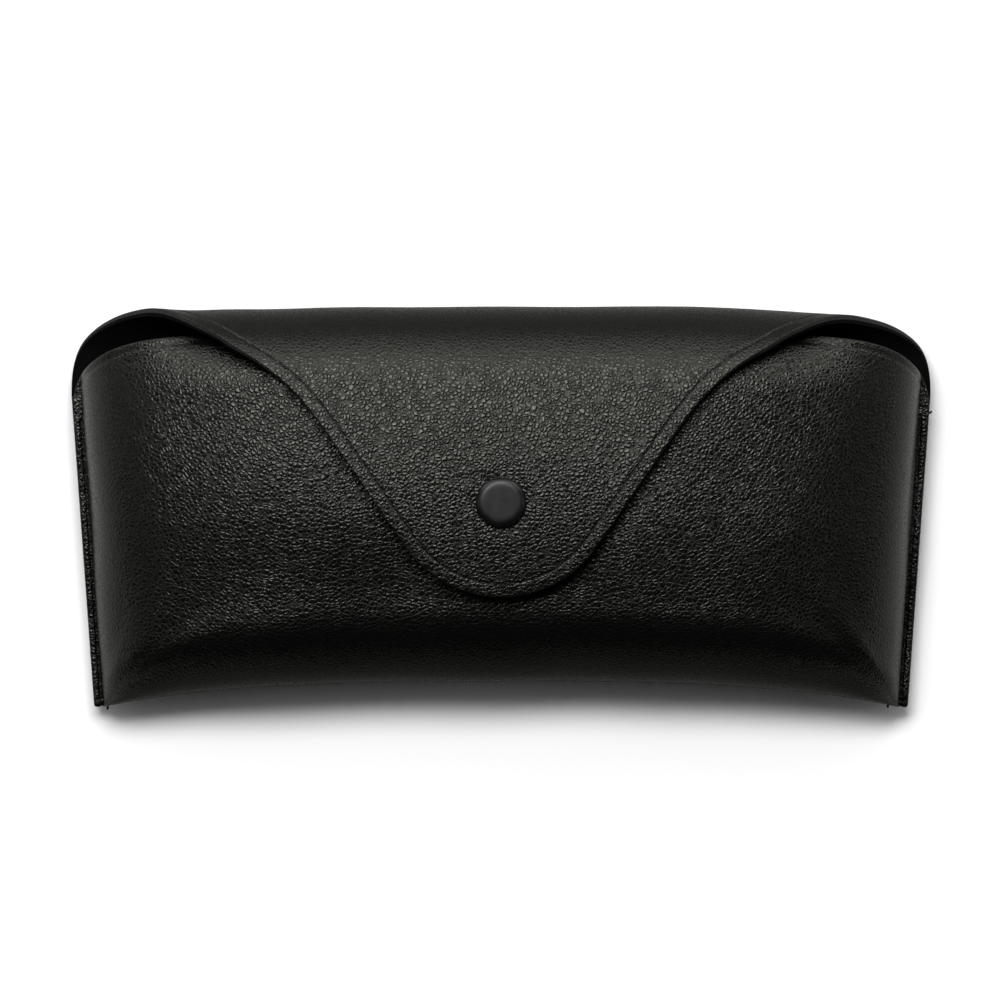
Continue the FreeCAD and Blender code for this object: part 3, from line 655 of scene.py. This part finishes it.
# %% Faces of the sheet
main_zone = np.searchsorted([pouch_count + int(np.argmin(np.abs(fold_rows - cut))) for cut in CUTS],
                            np.arange(ROWS - 1), side="right")
quad_zone = np.concatenate([np.repeat(main_zone, COLUMNS - 1), np.full(len(tip_quads), 3)])


def rim_edges(faces):
    """Edges with a face on one side only, in the way that their face runs."""
    edges = np.concatenate([faces[:, [k, (k + 1) % 4]] for k in range(4)])
    keys = np.sort(edges, axis=1)
    _, first, count = np.unique(keys, axis=0, return_index=True, return_counts=True)
    return edges[first[count == 1]]


STRETCHED = 0.3     # depth of the grain left where the sheet is pulled over a steep wall


def sheet_piece(name, zone, outer, inner, outer_normals, inner_normals):
    """Closed sheet between two sets of points.  Its second material is the rim's."""
    # the outside, the inside turned over, and a wall round the rim
    faces = all_quads[quad_zone == zone]
    used = np.unique(faces)
    renumber = np.full(len(outer), -1)
    renumber[used] = np.arange(len(used))
    top = renumber[faces]
    under = top[:, ::-1] + len(used)
    rim = renumber[rim_edges(faces)]
    wall = np.stack([rim[:, 1], rim[:, 0], rim[:, 0] + len(used), rim[:, 1] + len(used)], axis=1)
    points = np.concatenate([outer[used], inner[used]])
    mesh = bpy.data.meshes.new(name)
    mesh.from_pydata((points * MM).tolist(), [], np.concatenate([top, under, wall]).tolist())
    mesh.polygons.foreach_set("use_smooth", np.ones(len(mesh.polygons), bool))
    slots = np.zeros(len(mesh.polygons), np.int32)
    slots[len(top):] = 1
    mesh.polygons.foreach_set("material_index", slots)

    # both faces keep the whole sheet's normals, and the rim has its own
    normals = np.concatenate([outer_normals[used], inner_normals[used]])
    corner_normals = np.concatenate([normals[top.ravel()], normals[under.ravel()]])
    ends = points[wall]
    out = np.cross(ends[:, 2] - ends[:, 0], ends[:, 3] - ends[:, 1])
    out /= np.maximum(np.linalg.norm(out, axis=1, keepdims=True), 1e-12)
    mesh.normals_split_custom_set(np.concatenate([corner_normals, np.repeat(out, 4, axis=0)]).tolist())

    # what the patterns read: the resting place in mm, and how much of the grain is left
    rest = mesh.attributes.new("rest", "FLOAT_VECTOR", "POINT")
    rest.data.foreach_set("vector", points.astype(np.float32).ravel())
    grain = mesh.attributes.new("grain", "FLOAT", "POINT")
    level = STRETCHED + (1 - STRETCHED) * smooth(0.4, 0.88, np.abs(normals[:, 2]))
    grain.data.foreach_set("value", level.astype(np.float32))
    piece = bpy.data.objects.new(name, mesh)
    bpy.context.collection.objects.link(piece)
    return piece


outside = plain + (relief + slack)[:, None] * plain_normals
outside_normals = point_normals(outside)
print("zones hold", [int((quad_zone == zone).sum()) for zone in range(4)], "quads")

# %% [markdown]
# ## Leather and lining
# The lining is brushed microfibre, glued under the leather with a thin line of glue.  Both are the
# same grid at other depths.  A thick sheet smooths out what happens on its outside, so the faces
# below follow only part of the relief, but they follow the slack in full.

# %% Four bodies of leather and of lining
low_relief = np.where(relief < 0, relief * 0.35, relief * 0.6)


def layer(depth, share):
    """Points and normals of a face under the outside."""
    points = sheet_points(depth) + (share * low_relief + slack)[:, None] * plain_normals
    return points, -point_normals(points)


leather_under, leather_under_normals = layer(LEATHER, 0.6)
lining_over, lining_over_normals = layer(LINING_TOP, 0.6)
lining_under, lining_under_normals = layer(STACK, 0.6)

ZONES = ("pouch", "back_fold", "top_fold", "flap")
leathers, linings = {}, {}
for zone, body in enumerate(ZONES):
    leathers[body] = sheet_piece(f"leather_{body}", zone, outside, leather_under,
                                 outside_normals, leather_under_normals)
    linings[body] = sheet_piece(f"lining_{body}", zone, lining_over, lining_under,
                                -lining_over_normals, lining_under_normals)
    print(body, len(leathers[body].data.polygons), "faces of leather")

# %% [markdown]
# ## Thread
# The seams are sewn with black bonded polyester, two plies wound round each other.  A stitch shows as
# a short hump of thread that dives into a needle hole at each end, so every stitch is its own little
# pair of tubes on the finished surface.

# %% Stitches
nearby = kdtree.KDTree(len(outside))
for number, point in enumerate(outside):
    nearby.insert(point, number)
nearby.balance()
THREAD = 0.5            # thickness of the whole thread
TWIST = 1.3             # length of one full turn of its plies
HOLE_DEPTH = 0.40       # how deep a stitch's ends lie in their needle holes
HUMP = 0.36             # how far its middle rises from there


def onto(point, facing=None):
    """Nearest place on the outside, and its normal."""
    _, number, _ = nearby.find(Vector(point))
    normal = outside_normals[number]
    if facing is not None and normal @ np.array(facing) < 0:
        return point, np.array(facing, float)
    return point - ((point - outside[number]) @ normal) * normal, normal


def two_ply(path, up, thread=THREAD, sides=6):
    """Points and faces of two plies wound round a path."""
    # directions along the thread, across it and over it
    path = np.asarray(path, float)
    way = np.gradient(path, axis=0)
    way /= np.linalg.norm(way, axis=1, keepdims=True)
    across_way = np.cross(way, up)
    across_way /= np.linalg.norm(across_way, axis=1, keepdims=True)
    over = np.cross(across_way, way)

    # each ply is a tube whose middle runs round the thread's own
    turn = 2 * math.pi * lengths(path) / TWIST
    points, faces = [], []
    for ply in (0, math.pi):
        centre = path + thread * 0.22 * (np.cos(turn + ply)[:, None] * across_way
                                         + np.sin(turn + ply)[:, None] * over)
        first = len(points)
        for k in range(len(path)):
            for side in range(sides):
                angle = 2 * math.pi * side / sides
                points.append(centre[k] + thread * 0.29 * (math.cos(angle) * across_way[k]
                                                           + math.sin(angle) * over[k]))
        for k in range(len(path) - 1):
            for side in range(sides):
                a, b = first + k * sides + side, first + k * sides + (side + 1) % sides
                faces.append([a, a + sides, b + sides, b])
        faces.append([first + side for side in range(sides)])
        last = first + (len(path) - 1) * sides
        faces.append([last + side for side in reversed(range(sides))])
    return points, faces


def stitch(start, end, facing=None):
    """Hump of thread between two needle holes on the outside."""
    start, up_start = onto(np.asarray(start), facing)
    end, up_end = onto(np.asarray(end), facing)
    up = up_start + up_end
    up /= np.linalg.norm(up)
    share = np.linspace(0, 1, 9)
    hump = -HOLE_DEPTH + HUMP * np.sin(math.pi * share) ** 0.45
    path = start + share[:, None] * (end - start) + hump[:, None] * up
    return two_ply(path, up)


def thread_piece(name, parts):
    """One piece out of all the stitches of a seam."""
    points, faces = [], []
    for part_points, part_faces in parts:
        faces += [[corner + len(points) for corner in face] for face in part_faces]
        points += part_points
    mesh = bpy.data.meshes.new(name)
    mesh.from_pydata((np.array(points) * MM).tolist(), [], faces)
    mesh.polygons.foreach_set("use_smooth", np.ones(len(mesh.polygons), bool))
    rest = mesh.attributes.new("rest", "FLOAT_VECTOR", "POINT")
    rest.data.foreach_set("vector", np.array(points, np.float32).ravel())
    piece = bpy.data.objects.new(name, mesh)
    bpy.context.collection.objects.link(piece)
    print(name, len(parts), "stitches,", len(faces), "faces")
    return piece


# %% [markdown]
# ## Side seams and mouth hem
# Each side seam is sewn from the bottom corner up to the mouth.  A lock stitch shows on both faces of
# the seam, half a pitch apart, so the stitches are laid in pairs.  The hem's stitches only hold the
# lining to the mouth.  A thread is snipped by hand at each end of a seam, which leaves a short tail.

# %% Side seam stitches
FIRST_STITCH = 2.6      # from the bottom corner to the first stitch


def seam_stitches(side):
    """Stitches of a side seam, on the front and on the back."""
    share = side * (1 - SEAM_INSET / SEAM_WIDTH * (1 - SEAM_SHARE))
    faces_of_seam = (((0, 0, 1), 0.0, SEAM_RISE + SEAM_THICKNESS), ((0, 0, -1), PITCH / 2, SEAM_RISE))
    parts = []
    y = pouch_low[1] + FIRST_STITCH
    while y + STITCH < SEAM_TOP_Y - 1.0:
        for facing, shift, height in faces_of_seam:
            near, far = y + shift, y + shift + STITCH
            if far < SEAM_TOP_Y - 0.5:
                parts.append(stitch((across(share, near), near, height),
                                    (across(share, far), far, height), facing))
        y += PITCH
    return parts


left, right = seam_stitches(-1), seam_stitches(1)
print("stitches in the side seams:", len(left), "and", len(right))

# %% Hem stitches and loose ends
def front_place(share, edge):
    """Point of the front panel a distance below the mouth at the middle."""
    row = int(np.argmin(np.abs(front_rows - (mouth_y - edge))))
    return np.array([np.interp(share, shares, grid_points[row, :, k]) for k in range(3)])


def tail(start, way, length):
    """Loose end of thread, a length long, which droops a little."""
    share = np.linspace(0, 1, 8)[:, None]
    way = np.array(way, float) / np.linalg.norm(way)
    path = np.asarray(start) + share * length * way + [0, 0, -0.35] * share ** 2 * length
    return two_ply(path, np.array([0.0, 0.0, 1.0]))


HEM_HALF = 73           # half the length of the hem's row of stitches
hem_run = mouth_run[int(np.argmin(np.abs(EDGE - SEWN_INSET)))]
hem_places = np.arange(-int(HEM_HALF / PITCH), int(HEM_HALF / PITCH) + 1) * PITCH
hem = []
for place in hem_places:
    near, far = np.interp([place - STITCH / 2, place + STITCH / 2], hem_run - hem_run[-1] / 2, shares)
    hem.append(stitch(front_place(near, SEWN_INSET), front_place(far, SEWN_INSET)))

# a tail's seam, share of the half width, y, height over the seam's under side, direction and length
TAILS = ((right, 0.985, 17.6, 2.6, (0.75, 0.55, 0.2), 2.4),
         (right, 0.95, -38.9, 1.6, (0.1, -1, 0), 0.9),
         (left, -0.975, 17.0, 2.2, (-0.5, 0.9, 0.1), 1.1),
         (left, -0.965, -39.2, 1.6, (-0.2, -1, 0), 1.0))
for seam, share, end_y, rise, direction, long in TAILS:
    seam.append(tail((across(share, end_y), end_y, SEAM_RISE + rise), direction, long))
hem_thread = thread_piece("thread_mouth_hem", hem)
left_thread = thread_piece("thread_side_seam_left", left)
right_thread = thread_piece("thread_side_seam_right", right)

# %% [markdown]
# ## The flap's stitches
# The row runs round the flap at one distance from its edge and ends on top of the roll.  It is laid
# out from the tip to both sides, so that the tip has a stitch on each side of its middle.  Stitches
# past the last cut go into the roll's piece of thread.

# %% Flap thread
sewn_curve = offset_curve(SEWN_INSET)
sewn_run = lengths(sewn_curve)
flap_stitches, fold_stitches = [], []
back_from_tip = PITCH / 2
# one stitch to each side at a time, from the tip back to the top of the roll
while True:
    near, far = sewn_run[-1] - back_from_tip + STITCH / 2, sewn_run[-1] - back_from_tip - STITCH / 2
    ends = [np.array([np.interp(run, sewn_run, sewn_curve[:, k]) for k in (0, 1)]) for run in (near, far)]
    if ends[1][0] < at_angle(4):
        break
    group = flap_stitches if ends[1][0] > CUTS[2] else fold_stitches
    for side in (-1, 1):
        group.append(stitch(*[placed(np.float64(end[0]), side * end[1]) for end in ends]))
    back_from_tip += PITCH
flap_thread = thread_piece("thread_flap_edge", flap_stitches)
fold_thread = thread_piece("thread_top_fold_edge", fold_stitches)

# %% [markdown]
# ## The snap's cap
# The cap is stamped from brass sheet, nearly flat on top, with a rim that is rolled round instead of
# ending in a corner.  Its post goes through the flap and is clenched flat over the socket below.  A
# profile turned about the snap's axis gives the shoulder its own thin highlight, which a plain disc
# with a bevel would not have.

# %% Turned cap
def turned_piece(name, profile, steps=72):
    """Closed piece turned about the snap's axis from radius and height pairs, in mm."""
    profile = np.array(profile)
    angles = np.linspace(0, 2 * math.pi, steps, endpoint=False)
    points = [(0, snap_y, profile[0, 1])]
    for radius, height in profile[1:-1]:
        points += [(radius * math.cos(a), snap_y + radius * math.sin(a), height) for a in angles]
    points.append((0, snap_y, profile[-1, 1]))
    faces = [[0, 1 + k, 1 + (k + 1) % steps] for k in range(steps)]
    for ring in range(len(profile) - 3):
        low = 1 + ring * steps
        faces += [[low + k, low + k + steps, low + (k + 1) % steps + steps, low + (k + 1) % steps]
                  for k in range(steps)]
    low = 1 + (len(profile) - 3) * steps
    faces += [[low + k, len(points) - 1, low + (k + 1) % steps] for k in range(steps)]
    mesh = bpy.data.meshes.new(name)
    mesh.from_pydata((np.array(points) * MM).tolist(), [], faces)
    mesh.polygons.foreach_set("use_smooth", np.ones(len(faces), bool))
    piece = bpy.data.objects.new(name, mesh)
    bpy.context.collection.objects.link(piece)
    rest = mesh.attributes.new("rest", "FLOAT_VECTOR", "POINT")
    rest.data.foreach_set("vector", np.array(points, np.float32).ravel())
    return piece


cap_radius = (cap_high[0] - cap_low[0]) / 2
cap_top = cap_high[2]
RIM = 0.38              # radius of the rolled rim
SEAT = 0.05             # between the flap and the cap
POST, CLENCH = 1.3, 1.9     # radii of the post and of its flattened end
CLENCH_HEIGHT = 0.3
FLATNESS = 12           # higher keeps the top flat for longer, up to a crisper shoulder
clench_z = cap_low[2] + CLENCH_HEIGHT
profile = [(0.0, cap_low[2]), (CLENCH, cap_low[2]), (CLENCH, clench_z), (POST, clench_z),
           (POST, crown_z + 2 * SEAT), (cap_radius - RIM, crown_z + SEAT)]
rim_r, rim_z = cap_radius - RIM, crown_z + SEAT + RIM
for angle in np.radians(np.linspace(-75, 42, 9)):
    profile.append((rim_r + RIM * math.cos(angle), rim_z + RIM * math.sin(angle)))
shoulder_r, shoulder_z = profile[-1]
for share in 1 - np.linspace(0, 1, 16)[1:] ** 1.6:
    profile.append((shoulder_r * share, cap_top - (cap_top - shoulder_z) * share ** FLATNESS))
cap = turned_piece("metal_snap_cap", profile)
print("cap radius", round(float(cap_radius), 2), "top", round(float(cap_top), 2))

# %% [markdown]
# ## Finishes
# Every finish is a few nodes in front of the shader that a new material comes with.  Patterns read
# the piece's own resting place in millimetres, which is stored on its points, so a pebble keeps its
# size and stays where it is on the leather when the case opens.  One function adds a node, one starts
# a material, and one turns a colour code into the linear colour that the shader works in.

# %% Node helpers
def node(tree, kind, settings=None, **links):
    """Adds a node.  An input, by name or as i and its number, is given a socket or a plain value."""
    made = tree.nodes.new(kind)
    for key, value in (settings or {}).items():
        setattr(made, key, value)
    for key, value in links.items():
        numbered = key[0] == "i" and key[1:].isdigit()
        socket = made.inputs[int(key[1:]) if numbered else key.replace("_", " ")]
        if isinstance(value, bpy.types.NodeSocket):
            tree.links.new(value, socket)
        else:
            socket.default_value = value
    return made


def finish_of(name, **values):
    """New material and its shader node, with plain values set on it."""
    material = bpy.data.materials.new(name)
    material.use_nodes = True
    tree = material.node_tree
    shader = next(part for part in tree.nodes if part.type == "BSDF_PRINCIPLED")
    for key, value in values.items():
        shader.inputs[key.replace("_", " ")].default_value = value
    return material, tree, shader


def linear(code):
    """Linear colour of an sRGB hex code."""
    parts = [int(code[i:i + 2], 16) / 255 for i in (1, 3, 5)]
    return [p / 12.92 if p <= 0.04045 else ((p + 0.055) / 1.055) ** 2.4 for p in parts] + [1.0]


RGBA = {"data_type": "RGBA"}

# %% [markdown]
# ## Pebbled leatherette
# The wrap is polyurethane on a knitted backing, embossed with a pebble grain between hot rollers and
# then coated.  To the eye that is near black with small grey glints: its colour gives almost nothing,
# and the shape of each pebble gives nearly all.  The cells of a Voronoi pattern make the pebbles, and
# the lines between cells make the furrows.  Pebbles are 0.8 mm across and under 0.1 mm high.  A slow
# noise bends the cells, so they run in wrinkles, and a finer one keeps their tops from being domes.
# Polyurethane has the default IOR of 1.5.  Its tops are rubbed smoother than its furrows, and the
# coat's shine is faintly warm and weaker than bare plastic's.  The furrows are also coloured darker
# than the tops: painted shade for the shadow that falls into them.

# %% Leatherette
PEBBLE = 0.8                # across one pebble, mm
FINE_GRAIN = 1 / 3          # across the bumps on a pebble, mm
WRINKLE = 1 / 0.35          # along a bend of the rows of pebbles, mm
WRINKLE_SHIFT = 0.9         # how far that moves a pebble, mm
PEBBLE_RISE = 0.065         # from a furrow to the top of a pebble, mm
FURROW_ROUGHNESS, TOP_ROUGHNESS = 0.42, 0.2


def leatherette():
    material, tree, shader = finish_of("pebbled_pu_leatherette", Specular_IOR_Level=0.21,
                                       Specular_Tint=(1.0, 1.0, 0.91, 1.0))
    place = node(tree, "ShaderNodeAttribute", {"attribute_name": "rest"}).outputs["Vector"]
    wrinkles = node(tree, "ShaderNodeTexNoise", Vector=place, Scale=1 / WRINKLE, Detail=2.0)
    moved = node(tree, "ShaderNodeVectorMath", {"operation": "MULTIPLY_ADD"},
                 i0=wrinkles.outputs["Color"], i1=(WRINKLE_SHIFT,) * 3, i2=place)
    cells = node(tree, "ShaderNodeTexVoronoi", {"feature": "DISTANCE_TO_EDGE"},
                 Vector=moved.outputs[0], Scale=1 / PEBBLE, Randomness=1.0)
    pebble = node(tree, "ShaderNodeMapRange", {"interpolation_type": "SMOOTHSTEP"},
                  i0=cells.outputs["Distance"], i1=-0.42, i2=0.42, i3=-1.0, i4=1.0)
    fine = node(tree, "ShaderNodeTexNoise", Vector=place, Scale=1 / FINE_GRAIN, Detail=2.0)
    height = node(tree, "ShaderNodeMath", {"operation": "MULTIPLY_ADD"},
                  i0=fine.outputs["Fac"], i1=0.5, i2=pebble.outputs[0])
    left = node(tree, "ShaderNodeAttribute", {"attribute_name": "grain"}).outputs["Fac"]
    depth = node(tree, "ShaderNodeMath", {"operation": "MULTIPLY"}, i0=height.outputs[0], i1=left)
    bump = node(tree, "ShaderNodeBump", Height=depth.outputs[0], Strength=1.0, Distance=PEBBLE_RISE * MM)
    # painted shade: the furrows get the darker colour to stand for the shadow that falls into them
    colour = node(tree, "ShaderNodeMix", RGBA, Factor=pebble.outputs[0],
                  i6=linear("#010101"), i7=linear("#080707"))
    rough = node(tree, "ShaderNodeMapRange", i0=pebble.outputs[0], i1=0.1, i2=0.6,
                 i3=FURROW_ROUGHNESS, i4=TOP_ROUGHNESS)
    tree.links.new(colour.outputs[2], shader.inputs["Base Color"])
    tree.links.new(rough.outputs[0], shader.inputs["Roughness"])
    tree.links.new(bump.outputs[0], shader.inputs["Normal"])
    return material


leather_finish = leatherette()
print(leather_finish.name, "with pebbles of", PEBBLE, "mm")

# %% [markdown]
# ## Fibrous finishes
# Four pieces are made of fibres: the cut edge, where the backing of the leatherette shows as a matt
# brown-black line; the brushed microfibre lining, which drinks light and reads as a black hole; the
# bonded polyester thread, which has a waxy sheen; and the non-woven patches behind the snap, a dull
# dark grey felt.  Real fibres are 0.01 to 0.02 mm thick, too fine to show, so each is drawn as
# clumps of 0.1 to 0.2 mm.  One noise both shades the clumps and lifts them.

# %% Cut edge, lining, thread and backing
def fibres(name, dark, light, clump, rise, **values):
    """Soft fibrous finish, with the size and the rise of a clump of fibres in millimetres."""
    material, tree, shader = finish_of(name, **values)
    place = node(tree, "ShaderNodeAttribute", {"attribute_name": "rest"}).outputs["Vector"]
    clumps = node(tree, "ShaderNodeTexNoise", Vector=place, Scale=1 / clump, Detail=5.0, Roughness=0.65)
    colour = node(tree, "ShaderNodeMix", RGBA, Factor=clumps.outputs["Fac"],
                  i6=linear(dark), i7=linear(light))
    bump = node(tree, "ShaderNodeBump", Height=clumps.outputs["Fac"], Strength=0.6, Distance=rise * MM)
    tree.links.new(colour.outputs[2], shader.inputs["Base Color"])
    tree.links.new(bump.outputs[0], shader.inputs["Normal"])
    return material


edge_finish = fibres("cut_edge_of_pu_on_fabric", "#080706", "#161413", 1 / 5, 0.08, Roughness=0.9)
lining_finish = fibres("brushed_microfibre_lining", "#020202", "#050505", 1 / 7, 0.12, Roughness=0.95,
                       Specular_IOR_Level=0.06)
thread_finish = fibres("bonded_polyester_thread", "#020202", "#090909", 1 / 9, 0.03, Roughness=0.7,
                       Specular_IOR_Level=0.3)
patch_finish = fibres("non_woven_backing", "#2a2a2a", "#3c3c3c", 1 / 8, 0.05, Roughness=0.95)

# %% [markdown]
# ## Snap metals
# The snap is stamped from brass and stove-enamelled black, so what the eye meets is a thin coat of
# paint and no metal: it has no metallic value, a soft highlight and a dark body.  Only the ring in
# the socket is bare spring steel, which is metallic, keeps the default IOR and shines.  Handling
# leaves the roughness of both a little patchy.

# %% Enamel and steel
PATCHES_PER_METRE = 600.0


def snap_metal(name, code, roughness, metallic, wander=0.05, **values):
    """Finish of a snap part, with a roughness that wanders a little."""
    material, tree, shader = finish_of(name, Metallic=metallic, **values)
    place = node(tree, "ShaderNodeTexCoord").outputs["Object"]
    patches = node(tree, "ShaderNodeTexNoise", Vector=place, Scale=PATCHES_PER_METRE, Detail=4.0)
    rough = node(tree, "ShaderNodeMapRange", i0=patches.outputs["Fac"], i1=0.3, i2=0.7,
                 i3=roughness - wander, i4=roughness + wander)
    shader.inputs["Base Color"].default_value = linear(code)
    tree.links.new(rough.outputs[0], shader.inputs["Roughness"])
    return material


black_enamel = snap_metal("black_enamelled_brass", "#080808", 0.36, 0.0, Specular_IOR_Level=0.24)
spring_steel = snap_metal("spring_steel_wire", "#8a8a8c", 0.3, 1.0)
print("finishes:", [material.name for material in bpy.data.materials if material.users == 0])

# %% [markdown]
# ## Dressing the pieces
# A sheet has two materials: its face, and its rim.  The leather's rim and under side show the cut
# edge's fibres, and the lining is the same all round.  The snap's inner parts and the patches are
# carried over from the CAD model as they are, and only get their real finish.

# %% Dress the pieces
for body in ZONES:
    for piece, face in ((leathers[body], leather_finish), (linings[body], lining_finish)):
        piece.data.materials.append(face)
        piece.data.materials.append(edge_finish if face is leather_finish else lining_finish)
for piece in (hem_thread, left_thread, right_thread, flap_thread, fold_thread):
    piece.data.materials.append(thread_finish)
cap.data.materials.append(black_enamel)
CARRIED = {"snap_socket": black_enamel, "snap_stud": black_enamel, "stud_rivet": black_enamel,
           "snap_spring": spring_steel, "flap_snap_patch": patch_finish, "stud_patch": patch_finish}
for name, finish in CARRIED.items():
    for holder in frame["nodes"][name].material_slots:
        holder.material = finish

# %% [markdown]
# ## How it moves
# The pouch is one body, and the real case has no hinge: it opens because three lines of its roll bend.
# The pouch's leather and lining and the hem and side seam threads are attached to the pouch body, and
# the cap to the flap's.  The leather and lining of the other three pieces and the two flap threads
# only get their place baked into their points.


def bending(piece):
    """Bakes a piece's place into its points."""
    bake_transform(piece)


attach(leathers["pouch"], "pouch")
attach(linings["pouch"], "pouch")
for zone in ZONES[1:]:
    bending(leathers[zone])
    bending(linings[zone])
bending(fold_thread)
bending(flap_thread)
for piece in (hem_thread, left_thread, right_thread):
    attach(piece, "pouch")
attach(cap, "flap")
for zone in ZONES:
    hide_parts(f"{zone}_leather")
    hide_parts(f"{zone}_lining")
for piece, old in ((hem_thread, "mouth_hem_thread"), (left_thread, "side_seam_thread_left"),
                   (right_thread, "side_seam_thread_right"), (flap_thread, "flap_edge_thread"),
                   (fold_thread, "top_fold_edge_thread")):
    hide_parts(old)
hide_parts("snap_cap")

# %% [markdown]
# ## The table
# The case lies on a matt white table.  Black leather shows little but what it mirrors, and its steep
# walls mirror the table, so two tones are given to mirrored rays alone: a grey one in front of and
# behind the case, where a real table lies in some shade, and a paler one to its left and right, which
# lights the side walls.  Every other ray sees one plain white.

# %% Table
TABLE_HALF = 3
TABLE_DROP = 0.0002                     # keeps the table just clear of the back panel
SHADED_HALF, BRIGHT_FROM = 0.084, 0.094     # to the left and right of the middle, m
table_mesh = bpy.data.meshes.new("table")
table_corners = [(-TABLE_HALF, -TABLE_HALF, 0), (TABLE_HALF, -TABLE_HALF, 0),
                 (TABLE_HALF, TABLE_HALF, 0), (-TABLE_HALF, TABLE_HALF, 0)]
table_mesh.from_pydata(table_corners, [], [[0, 1, 2, 3]])
table = bpy.data.objects.new("table", table_mesh)
bpy.context.collection.objects.link(table)
table.location.z = -TABLE_DROP
table_finish, tree, shader = finish_of("white_table", Roughness=0.6)
place = node(tree, "ShaderNodeNewGeometry").outputs["Position"]
sides = node(tree, "ShaderNodeSeparateXYZ", Vector=place)
aside = node(tree, "ShaderNodeMath", {"operation": "ABSOLUTE"}, i0=sides.outputs["X"])
beside = node(tree, "ShaderNodeMapRange", i0=aside.outputs[0], i1=SHADED_HALF, i2=BRIGHT_FROM)
mirrored = node(tree, "ShaderNodeMix", RGBA, Factor=beside.outputs[0],
                i6=linear("#7e7e7b"), i7=linear("#dededa"))
rays = node(tree, "ShaderNodeLightPath")
table_colour = node(tree, "ShaderNodeMix", RGBA, Factor=rays.outputs["Is Glossy Ray"],
                    i6=linear("#f7f7f7"), i7=mirrored.outputs[2])
tree.links.new(table_colour.outputs[2], shader.inputs["Base Color"])
table_mesh.materials.append(table_finish)

# %% [markdown]
# ## Softboxes
# One large soft light hangs over the case and a little beyond its top edge.  The flap and the front
# mirror it, which draws the grain, and it throws the soft shadow below the bottom edge.  Two weak
# ones stand far out to the sides and keep the end walls from going black.

# %% Lights
CASE_MIDDLE = (0, 0, 0.01)


def softbox(name, place, size, power):
    """Rectangular light that faces the case."""
    light = bpy.data.lights.new(name, "AREA")
    light.shape = "RECTANGLE"
    light.size, light.size_y = size
    light.energy = power
    lamp = bpy.data.objects.new(name, light)
    bpy.context.collection.objects.link(lamp)
    lamp.location = place
    lamp.rotation_euler = (Vector(CASE_MIDDLE) - Vector(place)).to_track_quat("-Z", "Y").to_euler()
    print(name, power, "W")


softbox("light_beyond_the_top", (-0.10, 0.342, 0.94), (0.6, 0.28), 9.8)
softbox("light_left", (-0.85, 0.05, 0.40), (0.35, 0.9), 0.9)
softbox("light_right", (0.85, 0.05, 0.40), (0.3, 0.9), 0.8)

# %% [markdown]
# ## The room
# A studio's room is lit from one side too.  For plain light the room is white beyond the top edge and
# nearly black on the near side, so that the case's own shadow stays dark where it touches the table.
# For mirrored rays the room is dark but for one bright band in front of its far wall, which gives the
# top of the roll its grey line.  No real room is lit in two ways at once: this one is set for the look
# and isn't part of the model.  Directions are read along Y: 0 is straight up, 1 is level.

# %% Room
NEAR_SIDE, FAR_SIDE = 0.02, 1.0         # plain light
DARK_ROOM, BRIGHT_BAND = 0.02, 4.2      # mirrored light
LEVEL = 0.15                            # share of the band's light left at table height
world = bpy.data.worlds.new("white_room")
world.use_nodes = True
room = world.node_tree
way = node(room, "ShaderNodeTexCoord").outputs["Generated"]
far = node(room, "ShaderNodeSeparateXYZ", Vector=way).outputs["Y"]
plain_light = node(room, "ShaderNodeMapRange", i0=far, i1=-0.1, i2=0.7, i3=NEAR_SIDE, i4=FAR_SIDE)
band = node(room, "ShaderNodeMapRange", i0=far, i1=0.5, i2=0.62, i3=DARK_ROOM, i4=BRIGHT_BAND)
fade = node(room, "ShaderNodeMapRange", i0=far, i1=0.82, i2=0.94, i3=1.0, i4=LEVEL)
mirrored_light = node(room, "ShaderNodeMath", {"operation": "MULTIPLY"},
                      i0=band.outputs[0], i1=fade.outputs[0])
rays = node(room, "ShaderNodeLightPath")
strength = node(room, "ShaderNodeMapRange", i0=rays.outputs["Is Glossy Ray"],
                i3=plain_light.outputs[0], i4=mirrored_light.outputs[0])
room.nodes["Background"].inputs["Color"].default_value = (1, 1, 1, 1)
room.links.new(strength.outputs[0], room.nodes["Background"].inputs["Strength"])
bpy.context.scene.world = world
bpy.context.scene.view_settings.view_transform = "Standard"

# %% [markdown]
# ## The camera
# It looks straight down from far away through a long lens, as for a shop's catalogue, so the case's
# raised front is drawn almost as wide as it is.

# %% Camera
FRAME_WIDTH = 0.198         # width of table in sight, m
CAMERA_HEIGHT = 4.0         # over the middle of the case's height, m
HALF_DEPTH = 0.018
AIM = (-0.0002, 0.0014)
camera_data = bpy.data.cameras.new("camera")
camera = bpy.data.objects.new("camera", camera_data)
bpy.context.collection.objects.link(camera)
camera.location = (*AIM, CAMERA_HEIGHT + HALF_DEPTH)
camera_data.lens = camera_data.sensor_width * CAMERA_HEIGHT / FRAME_WIDTH
bpy.context.scene.camera = camera
print("lens", round(camera_data.lens), "mm")
